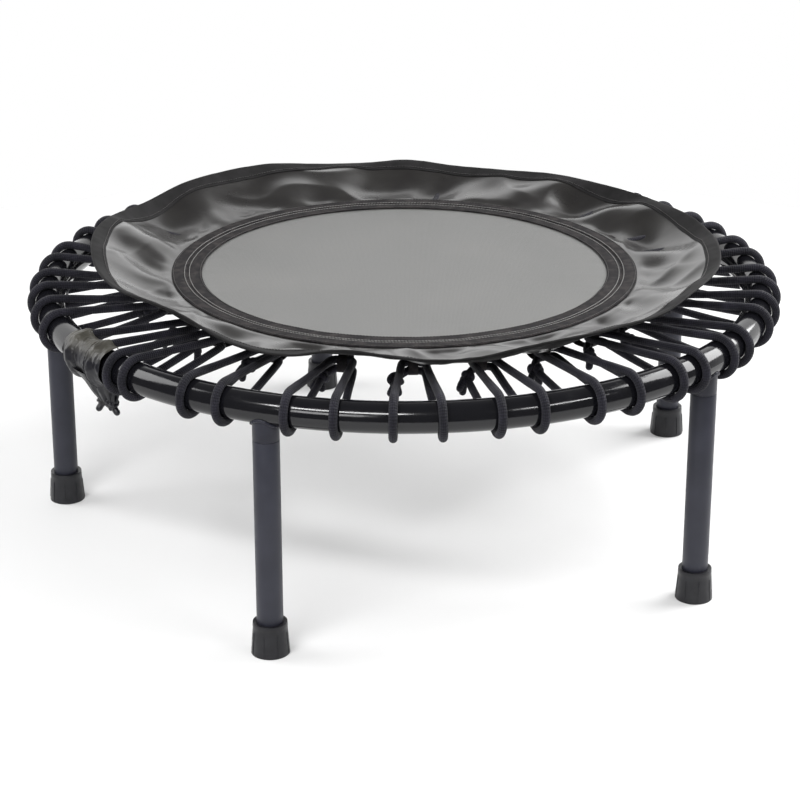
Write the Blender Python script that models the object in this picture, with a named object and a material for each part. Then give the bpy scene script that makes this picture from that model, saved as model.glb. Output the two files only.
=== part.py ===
"""A mini trampoline: a round mat hung from a tubular steel ring by elastic cords, on five screw-in legs.

Metres, +Z up. The origin is on the floor, under the middle of the ring, and the front is towards -Y.
Angles go round from +X, in degrees, so the front is at -90.
"""

import math

import bmesh
import bpy
from mathutils import Vector

# ---------------------------------------------------------------- driving dimensions
GAP = 0.0003  # between pieces that touch

RING_RADIUS = 0.476  # middle of the floor plan to the middle of the frame tube
RING_HEIGHT = 0.323  # floor to the middle of the frame tube
TUBE_RADIUS = 0.0195
TUBE_WALL = 0.0016
RING_STEPS = 60  # straight facets round the ring, twelve from leg to leg
TUBE_SIDES = 10

LEGS = 5
LEG_TURN = -38.2  # where the first leg stands
LEG_RADIUS = 0.0165
LEG_WALL = 0.0015
LEG_SIDES = 12

SOCKET_DROP = 0.020  # length of the welded collar below the ring
SADDLE_GAP = 0.0008  # the collar's saddle to the round tube, filled by the weld
SOCKET_LAND = 0.0135  # top of the collar's cheeks below the middle of the tube

STUD_RADIUS = 0.0060
STUD_CLEARANCE = 0.0005
STUD_REACH = 0.0100  # how far the stud stands into the ring's bottom wall and past it
PLUG_LENGTH = 0.012

FOOT_HEIGHT = 0.042
FOOT_BASE_RADIUS = 0.0245
FOOT_RIM_RADIUS = 0.0210
FOOT_SOLE = 0.006
FOOT_CHAMFER = 0.0025
WASHER_THICKNESS = 0.0015
WASHER_RADIUS = 0.0155

MAT_TOP = 0.3475
MAT_THICKNESS = 0.0015
MAT_RADIUS = 0.3120
BAND_INNER_RADIUS = 0.2730
BAND_OUTER_RADIUS = 0.3135
BAND_THICKNESS = 0.0016
SEAM_PRESS = 0.0003  # how far the sewing presses the mat's edge down under the webbing
SEAM_SLOPE = 0.0010  # the pressed edge rises to the open mat over this width
MAT_STEPS = 48

SKIRT_RADIUS = 0.4240
SKIRT_RISE = 0.0300  # how much higher the skirt's rim is than its sewn hem
SKIRT_THICKNESS = 0.0010
HEM_WIDTH = 0.0150
BINDING_WIDTH = 0.0160
BINDING_THICKNESS = 0.0008

CORDS_PER_LEG = 5
CORD_RADIUS = 0.0050
CORD_GAP = -0.0002  # cord to round tube: both are faceted, which leaves the clearance
CORD_SPREAD = 3.2  # half the angle between the two turns of one cord round the tube
WRAP_POINTS = 6
WRAP_TOP = 97.0  # where a turn leaves the tube's top and its underside, round the tube from its outer side
WRAP_BOTTOM = -107.0
KNOT_RADIUS = 0.0088

EYE_RADIUS = 0.3340  # where a cord passes through its webbing eye
EYE_HALF_WIDTH = 0.0060
EYE_STRAP = 0.0020
PASS_HALF_LENGTH = 0.0125
PASS_DROP = 0.0109  # the second pass of a cord below its first

# Lacing done by hand is never quite even: how far each cord sits from its even place, and how much
# wider or narrower its two turns are, in degrees, for the five cords after each leg.
LACING_SHIFT = (
    (-1.0, 0.4, -0.3, 0.2, 0.5),
    (0.3, -0.4, 0.2, 0.5, -0.2),
    (-0.2, 0.3, 0.1, -0.4, 0.3),
    (0.2, -0.6, 2.6, -3.2, -2.1),
    (0.0, 0.5, 0.6, 1.1, 0.7),
)
LACING_WIDEN = (
    (-0.6, 0.1, -0.2, 0.2, 0.0),
    (0.1, -0.1, 0.2, 0.0, 0.1),
    (0.0, 0.2, -0.2, 0.1, -0.1),
    (0.0, 0.1, -0.4, -1.5, -0.3),
    (0.25, 0.2, -0.15, 0.1, -0.7),
)

SLEEVE_START = -148.9  # the wrapped sleeve over one cord's turns, on the ring's left front
SLEEVE_END = -138.4
SLEEVE_THICKNESS = 0.0015
SLEEVE_OPENING = 96.0  # the sleeve is open towards the mat, past this angle round the tube
SLEEVE_STEPS = 10
SLEEVE_CLEARANCE = 0.0004
TIE_ANGLE = -141.0
TIE_DROP = 0.042

# ---------------------------------------------------------------- worked out from them
LEG_ANGLES = [LEG_TURN + leg * 360 / LEGS for leg in range(LEGS)]
SOCKET_BOTTOM = RING_HEIGHT - TUBE_RADIUS - SOCKET_DROP
LEG_TOP = SOCKET_BOTTOM - GAP
WASHER_BOTTOM = FOOT_SOLE + GAP
LEG_BOTTOM = WASHER_BOTTOM + WASHER_THICKNESS + GAP
STUD_TOP = RING_HEIGHT - TUBE_RADIUS + STUD_REACH
MAT_BOTTOM = MAT_TOP - MAT_THICKNESS
SEWN_TOP = MAT_TOP - SEAM_PRESS
EYE_BAND_TOP = MAT_BOTTOM - GAP
EYE_BAND_BOTTOM = EYE_BAND_TOP - EYE_STRAP
PASS_HEIGHT = EYE_BAND_BOTTOM - CORD_RADIUS - GAP
WRAP_STEP = (WRAP_TOP - WRAP_BOTTOM) / (WRAP_POINTS - 1)
WRAP_RADIUS = (TUBE_RADIUS + CORD_RADIUS + CORD_GAP) / math.cos(math.radians(WRAP_STEP / 2))
CORD_OUTSIDE = WRAP_RADIUS + CORD_RADIUS


# ---------------------------------------------------------------- helpers
def clear_scene():
    for obj in list(bpy.data.objects):
        bpy.data.objects.remove(obj, do_unlink=True)


def material(name, colour, roughness, metallic=0.0):
    made = bpy.data.materials.new(name)
    made.use_nodes = True
    shader = made.node_tree.nodes["Principled BSDF"]
    shader.inputs["Base Color"].default_value = (*colour, 1.0)
    shader.inputs["Roughness"].default_value = roughness
    shader.inputs["Metallic"].default_value = metallic
    made.diffuse_color = (*colour, 1.0)
    return made


def around(angle, radius, height):
    """A point by its angle round the trampoline, its distance from the middle and its height."""
    turn = math.radians(angle)
    return Vector((radius * math.cos(turn), radius * math.sin(turn), height))


def beside(angle, radius, aside, height):
    """As around(), and then moved sideways along the ring."""
    turn = math.radians(angle)
    return around(angle, radius, height) + aside * Vector((-math.sin(turn), math.cos(turn), 0))


def circle_profile(radius, sides, middle=(0.0, 0.0)):
    """A round profile as (distance out, height) points."""
    turns = [2 * math.pi * (side + 0.5) / sides for side in range(sides)]
    return [(middle[0] + radius * math.cos(t), middle[1] + radius * math.sin(t)) for t in turns]


def add_spun(bm, profile, steps, start=0.0, end=360.0):
    """Spins a closed profile of (distance out, height) points about Z: a ring, or a piece of one with flat ends."""
    whole = abs(end - start) >= 360.0
    corners = [bm.verts.new(around(start, out, height)) for out, height in profile]
    if whole:
        geometry = corners + [
            bm.edges.new((corners[i], corners[(i + 1) % len(corners)])) for i in range(len(corners))
        ]
    else:
        geometry = [bm.faces.new(corners)]
    bmesh.ops.spin(
        bm,
        geom=geometry,
        cent=(0, 0, 0),
        axis=(0, 0, 1),
        angle=math.radians(end - start),
        steps=steps,
        use_merge=whole,
    )


def add_turned(bm, outline, sides):
    """Turns an open outline about Z. It starts and ends on the axis, which closes the solid there."""
    corners = [bm.verts.new((out, 0, height)) for out, height in outline]
    edges = [bm.edges.new(pair) for pair in zip(corners, corners[1:])]
    bmesh.ops.spin(
        bm,
        geom=corners + edges,
        cent=(0, 0, 0),
        axis=(0, 0, 1),
        angle=2 * math.pi,
        steps=sides,
        use_merge=True,
    )
    bmesh.ops.remove_doubles(bm, verts=bm.verts, dist=1e-6)


def mesh_from(bm, name):
    bmesh.ops.remove_doubles(bm, verts=bm.verts, dist=1e-6)
    bmesh.ops.recalc_face_normals(bm, faces=bm.faces)
    mesh = bpy.data.meshes.new(name)
    bm.to_mesh(mesh)
    bm.free()
    mesh.shade_smooth()
    mesh.set_sharp_from_angle(angle=math.radians(35))
    return mesh


def place(name, data, finish, parent=None, location=(0, 0, 0), turn=0.0):
    """Puts a mesh or a curve into the scene as one named piece."""
    obj = bpy.data.objects.new(name, data)
    bpy.context.scene.collection.objects.link(obj)
    if not data.materials:
        data.materials.append(finish)
    obj.location = location
    obj.rotation_euler.z = math.radians(turn)
    obj.parent = parent
    return obj


def pivot(name, location, turn=0.0):
    obj = bpy.data.objects.new(name, None)
    obj.empty_display_size = 0.05
    bpy.context.scene.collection.objects.link(obj)
    obj.location = location
    obj.rotation_euler.z = math.radians(turn)
    return obj


def with_boolean(name, mesh, cutter_mesh, operation):
    """The mesh that a Boolean of the two gives."""
    body = place(name, mesh, STEEL_BLACK)
    tool = place(name + "_tool", cutter_mesh, STEEL_BLACK)
    cut = body.modifiers.new(operation.lower(), "BOOLEAN")
    cut.object = tool
    cut.operation = operation
    cut.solver = "EXACT"
    graph = bpy.context.evaluated_depsgraph_get()
    done = bpy.data.meshes.new_from_object(body.evaluated_get(graph))
    done.name = name
    bpy.data.objects.remove(body, do_unlink=True)
    bpy.data.objects.remove(tool, do_unlink=True)
    return done


# ---------------------------------------------------------------- frame ring
def ring_mesh():
    """The bent steel tube, hollow, with a hole in its underside for each leg's stud."""
    bm = bmesh.new()
    middle = (RING_RADIUS, RING_HEIGHT)
    add_spun(bm, circle_profile(TUBE_RADIUS, TUBE_SIDES, middle), RING_STEPS, LEG_TURN, LEG_TURN + 360)
    add_spun(
        bm,
        circle_profile(TUBE_RADIUS - TUBE_WALL, TUBE_SIDES, middle),
        RING_STEPS,
        LEG_TURN,
        LEG_TURN + 360,
    )
    bmesh.ops.remove_doubles(bm, verts=bm.verts, dist=1e-6)
    bmesh.ops.recalc_face_normals(bm, faces=bm.faces)
    inner = [face for face in bm.faces if in_bore(face)]
    point_outward(bm.faces, inner)
    tube = bpy.data.meshes.new("frame_ring")
    bm.to_mesh(tube)
    bm.free()
    drills = bmesh.new()
    depth = TUBE_RADIUS + STUD_REACH
    for angle in LEG_ANGLES:
        made = bmesh.ops.create_cone(
            drills,
            cap_ends=True,
            segments=LEG_SIDES,
            radius1=STUD_RADIUS + 2 * STUD_CLEARANCE,
            radius2=STUD_RADIUS + 2 * STUD_CLEARANCE,
            depth=depth,
        )
        bmesh.ops.translate(
            drills,
            verts=made["verts"],
            vec=around(angle, RING_RADIUS, RING_HEIGHT - depth / 2),
        )
    ring = with_boolean("frame_ring", tube, mesh_from(drills, "stud_drills"), "DIFFERENCE")
    ring.shade_smooth()
    ring.set_sharp_from_angle(angle=math.radians(40))
    return ring


def from_tube_middle(point):
    """The vector to a point from the nearest point of the tube's middle line."""
    flat = Vector((point.x, point.y, 0)).normalized() * RING_RADIUS
    return point - (flat + Vector((0, 0, RING_HEIGHT)))


def in_bore(face):
    """True of a face on the wall of the ring's hollow."""
    return from_tube_middle(face.verts[0].co).length < TUBE_RADIUS - TUBE_WALL / 2


def point_outward(faces, inner):
    """Turns the outer wall's faces out and the hollow's faces in, towards the middle of the tube."""
    hollow = set(inner)
    for face in faces:
        outwards = face.normal.dot(from_tube_middle(face.calc_center_median())) > 0
        if outwards == (face in hollow):
            face.normal_flip()


# ---------------------------------------------------------------- legs
def socket_mesh():
    """The collar welded under the ring: a saddle on top, and a threaded hole for the leg's stud."""
    bm = bmesh.new()
    bore = STUD_RADIUS + STUD_CLEARANCE
    top = RING_HEIGHT - SOCKET_LAND
    add_spun(
        bm,
        [(bore, SOCKET_BOTTOM), (LEG_RADIUS, SOCKET_BOTTOM), (LEG_RADIUS, top), (bore, top)],
        LEG_SIDES,
    )
    collar = mesh_from(bm, "leg_socket")
    saddle = bmesh.new()
    made = bmesh.ops.create_cone(
        saddle,
        cap_ends=True,
        segments=24,
        radius1=TUBE_RADIUS + SADDLE_GAP,
        radius2=TUBE_RADIUS + SADDLE_GAP,
        depth=6 * LEG_RADIUS,
    )
    lay_down = Vector((0, 0, 1)).rotation_difference(Vector((0, 1, 0))).to_matrix()
    bmesh.ops.rotate(saddle, cent=(0, 0, 0), matrix=lay_down, verts=made["verts"])
    bmesh.ops.translate(saddle, verts=made["verts"], vec=(0, 0, RING_HEIGHT))
    cut = with_boolean("leg_socket", collar, mesh_from(saddle, "saddle"), "DIFFERENCE")
    cut.shade_smooth()
    cut.set_sharp_from_angle(angle=math.radians(35))
    return cut


def leg_mesh():
    """A straight steel tube."""
    bm = bmesh.new()
    bore = LEG_RADIUS - LEG_WALL
    add_spun(
        bm,
        [(bore, LEG_BOTTOM), (LEG_RADIUS, LEG_BOTTOM), (LEG_RADIUS, LEG_TOP), (bore, LEG_TOP)],
        LEG_SIDES,
    )
    return mesh_from(bm, "leg_tube")


def stud_mesh():
    """The plug pressed into the leg's top, with the threaded stud that stands out of it."""
    bm = bmesh.new()
    plug = LEG_RADIUS - LEG_WALL - GAP
    tip = STUD_RADIUS - 0.0015
    add_turned(
        bm,
        [
            (0, LEG_TOP - PLUG_LENGTH),
            (plug, LEG_TOP - PLUG_LENGTH),
            (plug, LEG_TOP),
            (STUD_RADIUS, LEG_TOP),
            (STUD_RADIUS, STUD_TOP - 0.0015),
            (tip, STUD_TOP),
            (0, STUD_TOP),
        ],
        LEG_SIDES,
    )
    return mesh_from(bm, "leg_stud")


def foot_mesh():
    """The rubber cap: a wide sole, tapering walls, and a pocket for the leg's end."""
    bm = bmesh.new()
    pocket = LEG_RADIUS + GAP
    add_turned(
        bm,
        [
            (0, 0),
            (FOOT_BASE_RADIUS - FOOT_CHAMFER, 0),
            (FOOT_BASE_RADIUS, FOOT_CHAMFER),
            (FOOT_RIM_RADIUS, FOOT_HEIGHT),
            (pocket, FOOT_HEIGHT),
            (pocket, FOOT_SOLE),
            (0, FOOT_SOLE),
        ],
        LEG_SIDES,
    )
    return mesh_from(bm, "leg_foot")


def washer_mesh():
    """The steel disc that keeps the leg's edge from cutting through the sole."""
    bm = bmesh.new()
    top = WASHER_BOTTOM + WASHER_THICKNESS
    add_turned(
        bm,
        [(0, WASHER_BOTTOM), (WASHER_RADIUS, WASHER_BOTTOM), (WASHER_RADIUS, top), (0, top)],
        LEG_SIDES,
    )
    return mesh_from(bm, "foot_washer")


def make_legs():
    socket, tube, stud, foot, washer = socket_mesh(), leg_mesh(), stud_mesh(), foot_mesh(), washer_mesh()
    for number, angle in enumerate(LEG_ANGLES, start=1):
        under_ring = around(angle, RING_RADIUS, 0)
        place(f"leg_socket_{number}", socket, STEEL_BLACK, None, under_ring, angle)
        axis = pivot(f"leg_axis_{number}", under_ring, angle)
        place(f"leg_tube_{number}", tube, LEG_PAINT, axis)
        place(f"leg_stud_{number}", stud, ZINC, axis)
        place(f"leg_foot_{number}", foot, RUBBER, axis)
        place(f"foot_washer_{number}", washer, ZINC, axis)


# ---------------------------------------------------------------- mat
def mat_mesh():
    """The jumping cloth: its open top is flat, and its edge is pressed down where the webbing is sewn on."""
    pressed_to = BAND_INNER_RADIUS - SEAM_SLOPE / 2
    bm = bmesh.new()
    add_turned(
        bm,
        [
            (0, MAT_BOTTOM),
            (MAT_RADIUS, MAT_BOTTOM),
            (MAT_RADIUS, SEWN_TOP),
            (pressed_to, SEWN_TOP),
            (pressed_to - SEAM_SLOPE, MAT_TOP),
            (0, MAT_TOP),
        ],
        MAT_STEPS,
    )
    return mesh_from(bm, "jump_mat")


def band_mesh():
    """The webbing sewn round the mat's edge, stepped up where it covers the skirt's hem."""
    low = SEWN_TOP + GAP
    high = low + SKIRT_THICKNESS + GAP
    step_in = BAND_OUTER_RADIUS - HEM_WIDTH - 0.0040
    step_out = step_in + 0.0015
    bm = bmesh.new()
    add_spun(
        bm,
        [
            (BAND_INNER_RADIUS, low),
            (step_in, low),
            (step_out, high),
            (BAND_OUTER_RADIUS, high),
            (BAND_OUTER_RADIUS, high + BAND_THICKNESS),
            (step_out, high + BAND_THICKNESS),
            (step_in, low + BAND_THICKNESS),
            (BAND_INNER_RADIUS, low + BAND_THICKNESS),
        ],
        MAT_STEPS,
    )
    return mesh_from(bm, "mat_webbing")


def skirt_line():
    """The underside of the skirt, from its hem on the mat to its rim, as (distance out, height)."""
    hem = SEWN_TOP + GAP
    flare = BAND_OUTER_RADIUS + 0.0005
    width = SKIRT_RADIUS - flare
    return [
        (BAND_OUTER_RADIUS - HEM_WIDTH, hem),
        (flare, hem),
        (flare + 0.4 * width, hem + 0.45 * SKIRT_RISE),
        (SKIRT_RADIUS - BINDING_WIDTH, hem + 0.92 * SKIRT_RISE),
        (SKIRT_RADIUS, hem + SKIRT_RISE),
    ]


def skirt_mesh():
    """The vinyl skirt that covers the cords' inner ends: a thin dish that rises outwards."""
    under = skirt_line()
    over = [(out, height + SKIRT_THICKNESS) for out, height in reversed(under)]
    bm = bmesh.new()
    add_spun(bm, under + over, MAT_STEPS)
    return mesh_from(bm, "skirt")


def binding_mesh():
    """The tape folded over the skirt's rim: a flat U with the rim inside it."""
    (inner, inner_height), (rim, rim_height) = skirt_line()[-2:]
    slot = GAP
    fold = slot + BINDING_THICKNESS
    inner += 0.0020
    top = SKIRT_THICKNESS
    bm = bmesh.new()
    add_spun(
        bm,
        [
            (inner, inner_height - fold),
            (rim + fold, rim_height - fold),
            (rim + fold, rim_height + top + fold),
            (inner, inner_height + top + fold),
            (inner, inner_height + top + slot + 0.0003),
            (rim + slot, rim_height + top + slot),
            (rim + slot, rim_height - slot),
            (inner, inner_height - slot),
        ],
        MAT_STEPS,
    )
    return mesh_from(bm, "skirt_binding")


def eye_band_mesh(cord_angles):
    """The webbing sewn under the mat's edge, with one eye for each cord standing out of it."""
    eye_top = EYE_BAND_TOP - 0.0003
    eye_end = EYE_RADIUS + CORD_RADIUS + GAP + EYE_STRAP
    eye_low = PASS_HEIGHT - PASS_DROP - CORD_RADIUS - GAP - EYE_STRAP
    eye_start = MAT_RADIUS - 0.0040
    band = bmesh.new()
    add_spun(
        band,
        [
            (BAND_INNER_RADIUS + 0.010, EYE_BAND_BOTTOM),
            (MAT_RADIUS, EYE_BAND_BOTTOM),
            (MAT_RADIUS, EYE_BAND_TOP),
            (BAND_INNER_RADIUS + 0.010, EYE_BAND_TOP),
        ],
        MAT_STEPS,
    )
    eyes = bmesh.new()
    outer = [(eye_start, eye_low), (eye_end, eye_low), (eye_end, eye_top), (eye_start, eye_top)]
    inner = [
        (MAT_RADIUS + EYE_STRAP, eye_low + EYE_STRAP),
        (eye_end - EYE_STRAP, eye_low + EYE_STRAP),
        (eye_end - EYE_STRAP, EYE_BAND_BOTTOM + GAP),
        (MAT_RADIUS + EYE_STRAP, EYE_BAND_BOTTOM + GAP),
    ]
    for angle in cord_angles:
        sides = [
            [[eyes.verts.new(beside(angle, out, aside, z)) for out, z in loop] for loop in (outer, inner)]
            for aside in (-EYE_HALF_WIDTH, EYE_HALF_WIDTH)
        ]
        for i in range(4):
            j = (i + 1) % 4
            (near_out, near_in), (far_out, far_in) = sides
            eyes.faces.new((near_out[i], near_out[j], near_in[j], near_in[i]))
            eyes.faces.new((far_out[i], far_in[i], far_in[j], far_out[j]))
            eyes.faces.new((near_out[i], far_out[i], far_out[j], near_out[j]))
            eyes.faces.new((near_in[i], near_in[j], far_in[j], far_in[i]))
    return with_boolean("cord_webbing", mesh_from(band, "band"), mesh_from(eyes, "eyes"), "UNION")


def make_mat(cord_angles):
    middle = pivot("mat_axis", (0, 0, 0))
    place("jump_mat", mat_mesh(), MAT_CLOTH, middle)
    place("mat_webbing", band_mesh(), WEBBING, middle)
    place("cord_webbing", eye_band_mesh(cord_angles), WEBBING, middle)
    place("skirt", skirt_mesh(), VINYL, middle)
    place("skirt_binding", binding_mesh(), TAPE, middle)


# ---------------------------------------------------------------- elastic cords
def cord_places():
    """(angle, half the angle between its two turns) of every cord."""
    pitch = 360 / LEGS / CORDS_PER_LEG
    places = []
    for leg, angle in enumerate(LEG_ANGLES):
        for place_on in range(CORDS_PER_LEG):
            even = angle + (place_on + 0.5) * pitch
            places.append(
                (even + LACING_SHIFT[leg][place_on], CORD_SPREAD + LACING_WIDEN[leg][place_on])
            )
    return places


def turn_round_tube(angle):
    """One turn over the frame tube and back under it, from the top."""
    points = []
    for step in range(WRAP_POINTS):
        turn = math.radians(WRAP_TOP - step * WRAP_STEP)
        out = RING_RADIUS + WRAP_RADIUS * math.cos(turn)
        points.append(around(angle, out, RING_HEIGHT + WRAP_RADIUS * math.sin(turn)))
    return points


def cord_route(angle, spread):
    """The closed loop of one cord as (point, thickness) pairs: twice round the tube, and twice through its eye.

    It goes through the eye from left to right, out over the tube, back under it, through the eye again
    from right to left, and to the knot that joins it to the turn on the left.
    """
    knot = KNOT_RADIUS / CORD_RADIUS
    low = PASS_HEIGHT - PASS_DROP
    route = [(beside(angle, EYE_RADIUS, -PASS_HALF_LENGTH, PASS_HEIGHT), 1.0)]
    route += [(beside(angle, EYE_RADIUS, PASS_HALF_LENGTH, PASS_HEIGHT), 1.0)]
    route += [(point, 1.0) for point in turn_round_tube(angle + spread)]
    route += [(beside(angle, EYE_RADIUS, PASS_HALF_LENGTH, low), 1.0)]
    route += [(beside(angle, EYE_RADIUS, -PASS_HALF_LENGTH, low), 1.0)]
    route += [(beside(angle, EYE_RADIUS + 0.008, -0.0205, low - 0.0060), knot)]
    route += [(beside(angle, EYE_RADIUS + 0.019, -0.0225, low - 0.0085), knot)]
    route += [(beside(angle, EYE_RADIUS + 0.027, -0.0230, low - 0.0100), 1.0)]
    route += [(point, 1.0) for point in reversed(turn_round_tube(angle - spread))]
    return route


def cord_curve(name, route, radius, closed):
    curve = bpy.data.curves.new(name, "CURVE")
    curve.dimensions = "3D"
    curve.bevel_depth = radius
    curve.bevel_resolution = 1
    curve.use_fill_caps = not closed
    spline = curve.splines.new("POLY")
    spline.points.add(len(route) - 1)
    spline.use_cyclic_u = closed
    for point, (place_at, thickness) in zip(spline.points, route):
        point.co = (*place_at, 1.0)
        point.radius = thickness
    return curve


def make_cords():
    for number, (angle, spread) in enumerate(cord_places(), start=1):
        name = f"elastic_cord_{number:02d}"
        place(name, cord_curve(name, cord_route(angle, spread), CORD_RADIUS, True), CORD_BLACK)


# ---------------------------------------------------------------- wrapped sleeve
def make_sleeve():
    """A soft sleeve round the tube over one cord's turns, open towards the mat, tied below."""
    facet = math.radians(2 * SLEEVE_OPENING / SLEEVE_STEPS)
    inside = (CORD_OUTSIDE + SLEEVE_CLEARANCE) / math.cos(facet / 2)
    outside = inside + SLEEVE_THICKNESS
    turns = [math.radians(-SLEEVE_OPENING) + step * facet for step in range(SLEEVE_STEPS + 1)]
    section = [(RING_RADIUS + outside * math.cos(t), RING_HEIGHT + outside * math.sin(t)) for t in turns]
    section += [
        (RING_RADIUS + inside * math.cos(t), RING_HEIGHT + inside * math.sin(t)) for t in reversed(turns)
    ]
    bm = bmesh.new()
    add_spun(bm, section, 6, SLEEVE_START, SLEEVE_END)
    place("frame_sleeve", mesh_from(bm, "frame_sleeve"), SLEEVE_FILM)
    top = RING_HEIGHT - outside - GAP
    tail = [(0.0, 0.5), (0.2, 0.9), (0.45, 0.6), (0.8, 0.9), (1.0, 0.4)]
    route = [(around(TIE_ANGLE, RING_RADIUS, top - share * TIE_DROP), width) for share, width in tail]
    place("sleeve_tie", cord_curve("sleeve_tie", route, 0.010, False), CORD_BLACK)


# ---------------------------------------------------------------- the whole trampoline
clear_scene()
STEEL_BLACK = material("gloss_black_steel", (0.012, 0.012, 0.014), 0.18, 0.3)
LEG_PAINT = material("grey_powder_coat", (0.045, 0.045, 0.050), 0.45, 0.3)
ZINC = material("zinc_plate", (0.55, 0.55, 0.53), 0.35, 1.0)
RUBBER = material("black_rubber", (0.012, 0.012, 0.013), 0.70)
MAT_CLOTH = material("grey_woven_mat", (0.20, 0.20, 0.20), 0.50)
WEBBING = material("dark_webbing", (0.030, 0.027, 0.026), 0.75)
VINYL = material("grey_vinyl", (0.060, 0.060, 0.062), 0.30)
TAPE = material("black_tape", (0.018, 0.018, 0.019), 0.80)
CORD_BLACK = material("black_elastic", (0.014, 0.014, 0.016), 0.65)
SLEEVE_FILM = material("dark_film", (0.035, 0.033, 0.034), 0.35)

place("frame_ring", ring_mesh(), STEEL_BLACK)
make_legs()
make_mat([angle for angle, _ in cord_places()])
make_cords()
make_sleeve()
bpy.context.view_layer.update()
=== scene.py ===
# %% [markdown]
# # A mini trampoline, made piece by piece
# A round mat hangs from a bent steel ring by twenty-five loops of elastic cord. Five legs screw into
# collars under the ring, and a vinyl skirt covers the inner ends of the cords. The bare solids of
# all these pieces come first, as a fixed frame in metres with +Z up, and the front of the
# trampoline is towards -Y. Everything below is modelled around that frame.

# %% Load the frame
import math

import bmesh
import bpy
import numpy as np
from mathutils import Matrix, Vector, noise


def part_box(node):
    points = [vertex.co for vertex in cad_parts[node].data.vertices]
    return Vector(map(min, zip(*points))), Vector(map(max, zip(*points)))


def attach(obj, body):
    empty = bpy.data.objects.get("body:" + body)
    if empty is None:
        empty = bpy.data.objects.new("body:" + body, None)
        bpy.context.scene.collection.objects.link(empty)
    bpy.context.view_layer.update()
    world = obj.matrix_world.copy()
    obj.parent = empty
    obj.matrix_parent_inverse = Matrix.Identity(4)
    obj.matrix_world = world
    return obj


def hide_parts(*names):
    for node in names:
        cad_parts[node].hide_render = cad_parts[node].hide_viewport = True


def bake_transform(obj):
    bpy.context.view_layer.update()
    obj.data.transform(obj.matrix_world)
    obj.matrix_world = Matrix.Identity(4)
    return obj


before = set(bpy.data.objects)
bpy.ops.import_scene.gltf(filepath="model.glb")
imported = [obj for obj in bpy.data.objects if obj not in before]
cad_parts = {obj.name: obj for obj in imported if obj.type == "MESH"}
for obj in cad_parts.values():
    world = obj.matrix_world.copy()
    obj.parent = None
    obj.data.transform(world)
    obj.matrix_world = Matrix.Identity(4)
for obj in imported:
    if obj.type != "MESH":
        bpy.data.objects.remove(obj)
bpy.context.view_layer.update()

# %% [markdown]
# ## Sizes
# The legs' solids stand straight under the ring, so the middle of a leg's box gives the ring's
# radius and where each leg stands. Heights are read from the solids too. What can't be read from a
# box, such as the width of a cord, is written here once.

# %% Sizes read from the frame
def middle_of(node):
    low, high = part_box(node)
    return (low + high) / 2


ring_low, ring_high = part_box("frame_ring")
RING_HEIGHT = (ring_low.z + ring_high.z) / 2
TUBE_RADIUS = (ring_high.z - ring_low.z) / 2
LEG_PLACES = [middle_of(f"leg_tube_{number}").to_2d() for number in range(1, 6)]
LEG_ANGLES = [math.degrees(math.atan2(place.y, place.x)) for place in LEG_PLACES]
RING_RADIUS = LEG_PLACES[0].length
LEG_BOTTOM, LEG_TOP = (corner.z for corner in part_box("leg_tube_1"))
COLLAR_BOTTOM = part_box("leg_socket_1")[0].z
STUD_BOTTOM, STUD_TOP = (corner.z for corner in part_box("leg_stud_1"))
FOOT_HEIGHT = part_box("leg_foot_1")[1].z
MAT_BOTTOM, MAT_TOP = (corner.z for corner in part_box("jump_mat"))
WEBBING_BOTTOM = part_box("mat_webbing")[0].z
EYE_BAND_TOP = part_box("cord_webbing")[1].z
print(f"ring {RING_RADIUS:.3f} m in radius, its tube {2000 * TUBE_RADIUS:.0f} mm thick")
print("legs at", [round(angle, 1) for angle in LEG_ANGLES], "degrees")

# %% Sizes written once
GAP = 0.0003
LEG_RADIUS = 0.0165
LEG_WALL = 0.0015
STUD_RADIUS = 0.0060
FOOT_BASE_RADIUS = 0.0245
FOOT_RIM_RADIUS = 0.0210
FOOT_SOLE = 0.006
MAT_RADIUS = 0.3120
BAND_INNER_RADIUS = 0.2730
BAND_OUTER_RADIUS = 0.3135
HEM_WIDTH = 0.0150
SKIRT_WIDTH = 0.1140
TAPE_WIDTH = 0.0200
CORD_RADIUS = 0.0050
CORD_SPREAD = 3.2
EYE_RADIUS = 0.3340
EYE_BAND_THICKNESS = 0.0020
PASS_DROP = 0.0109
SLEEVE_START = -148.9
SLEEVE_END = -138.4
TIE_ANGLE = -141.0


# %% [markdown]
# ## Camera
# The camera looks down on the trampoline from the front with a longish lens, so the ring's circle
# turns into a flat oval without strong perspective.

# %% Camera
def add_camera(place, tilt, turn, lens):
    bpy.ops.object.camera_add(location=place, rotation=(math.radians(tilt), 0, math.radians(turn)))
    camera = bpy.context.object
    camera.data.lens = lens
    camera.data.sensor_width = 36.0
    camera.data.clip_end = 40.0
    bpy.context.scene.camera = camera
    return camera


camera = add_camera(place=(0.0, -3.0835, 1.3811), tilt=68.33, turn=0.106, lens=107.97)
print("camera", round(camera.location.length, 2), "m from the floor's middle")


# %% [markdown]
# ## Helpers
# Modelling here goes as it would by hand: add a primitive, enter edit mode, select faces or edges
# by where they lie, and run an operator on them. Operators act on everything that is selected, so
# each piece starts by deselecting all.

# %% Helpers for modelling
def start():
    """Leaves edit mode and deselects everything, so that the next operator meets only its own piece."""
    if bpy.context.object and bpy.context.object.mode != "OBJECT":
        bpy.ops.object.mode_set(mode="OBJECT")
    bpy.ops.object.select_all(action="DESELECT")


def activate(obj):
    start()
    obj.select_set(True)
    bpy.context.view_layer.objects.active = obj


def edit(obj, what="FACE", select="DESELECT"):
    activate(obj)
    bpy.ops.object.mode_set(mode="EDIT")
    bpy.ops.mesh.select_mode(type=what)
    bpy.ops.mesh.select_all(action=select)


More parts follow.
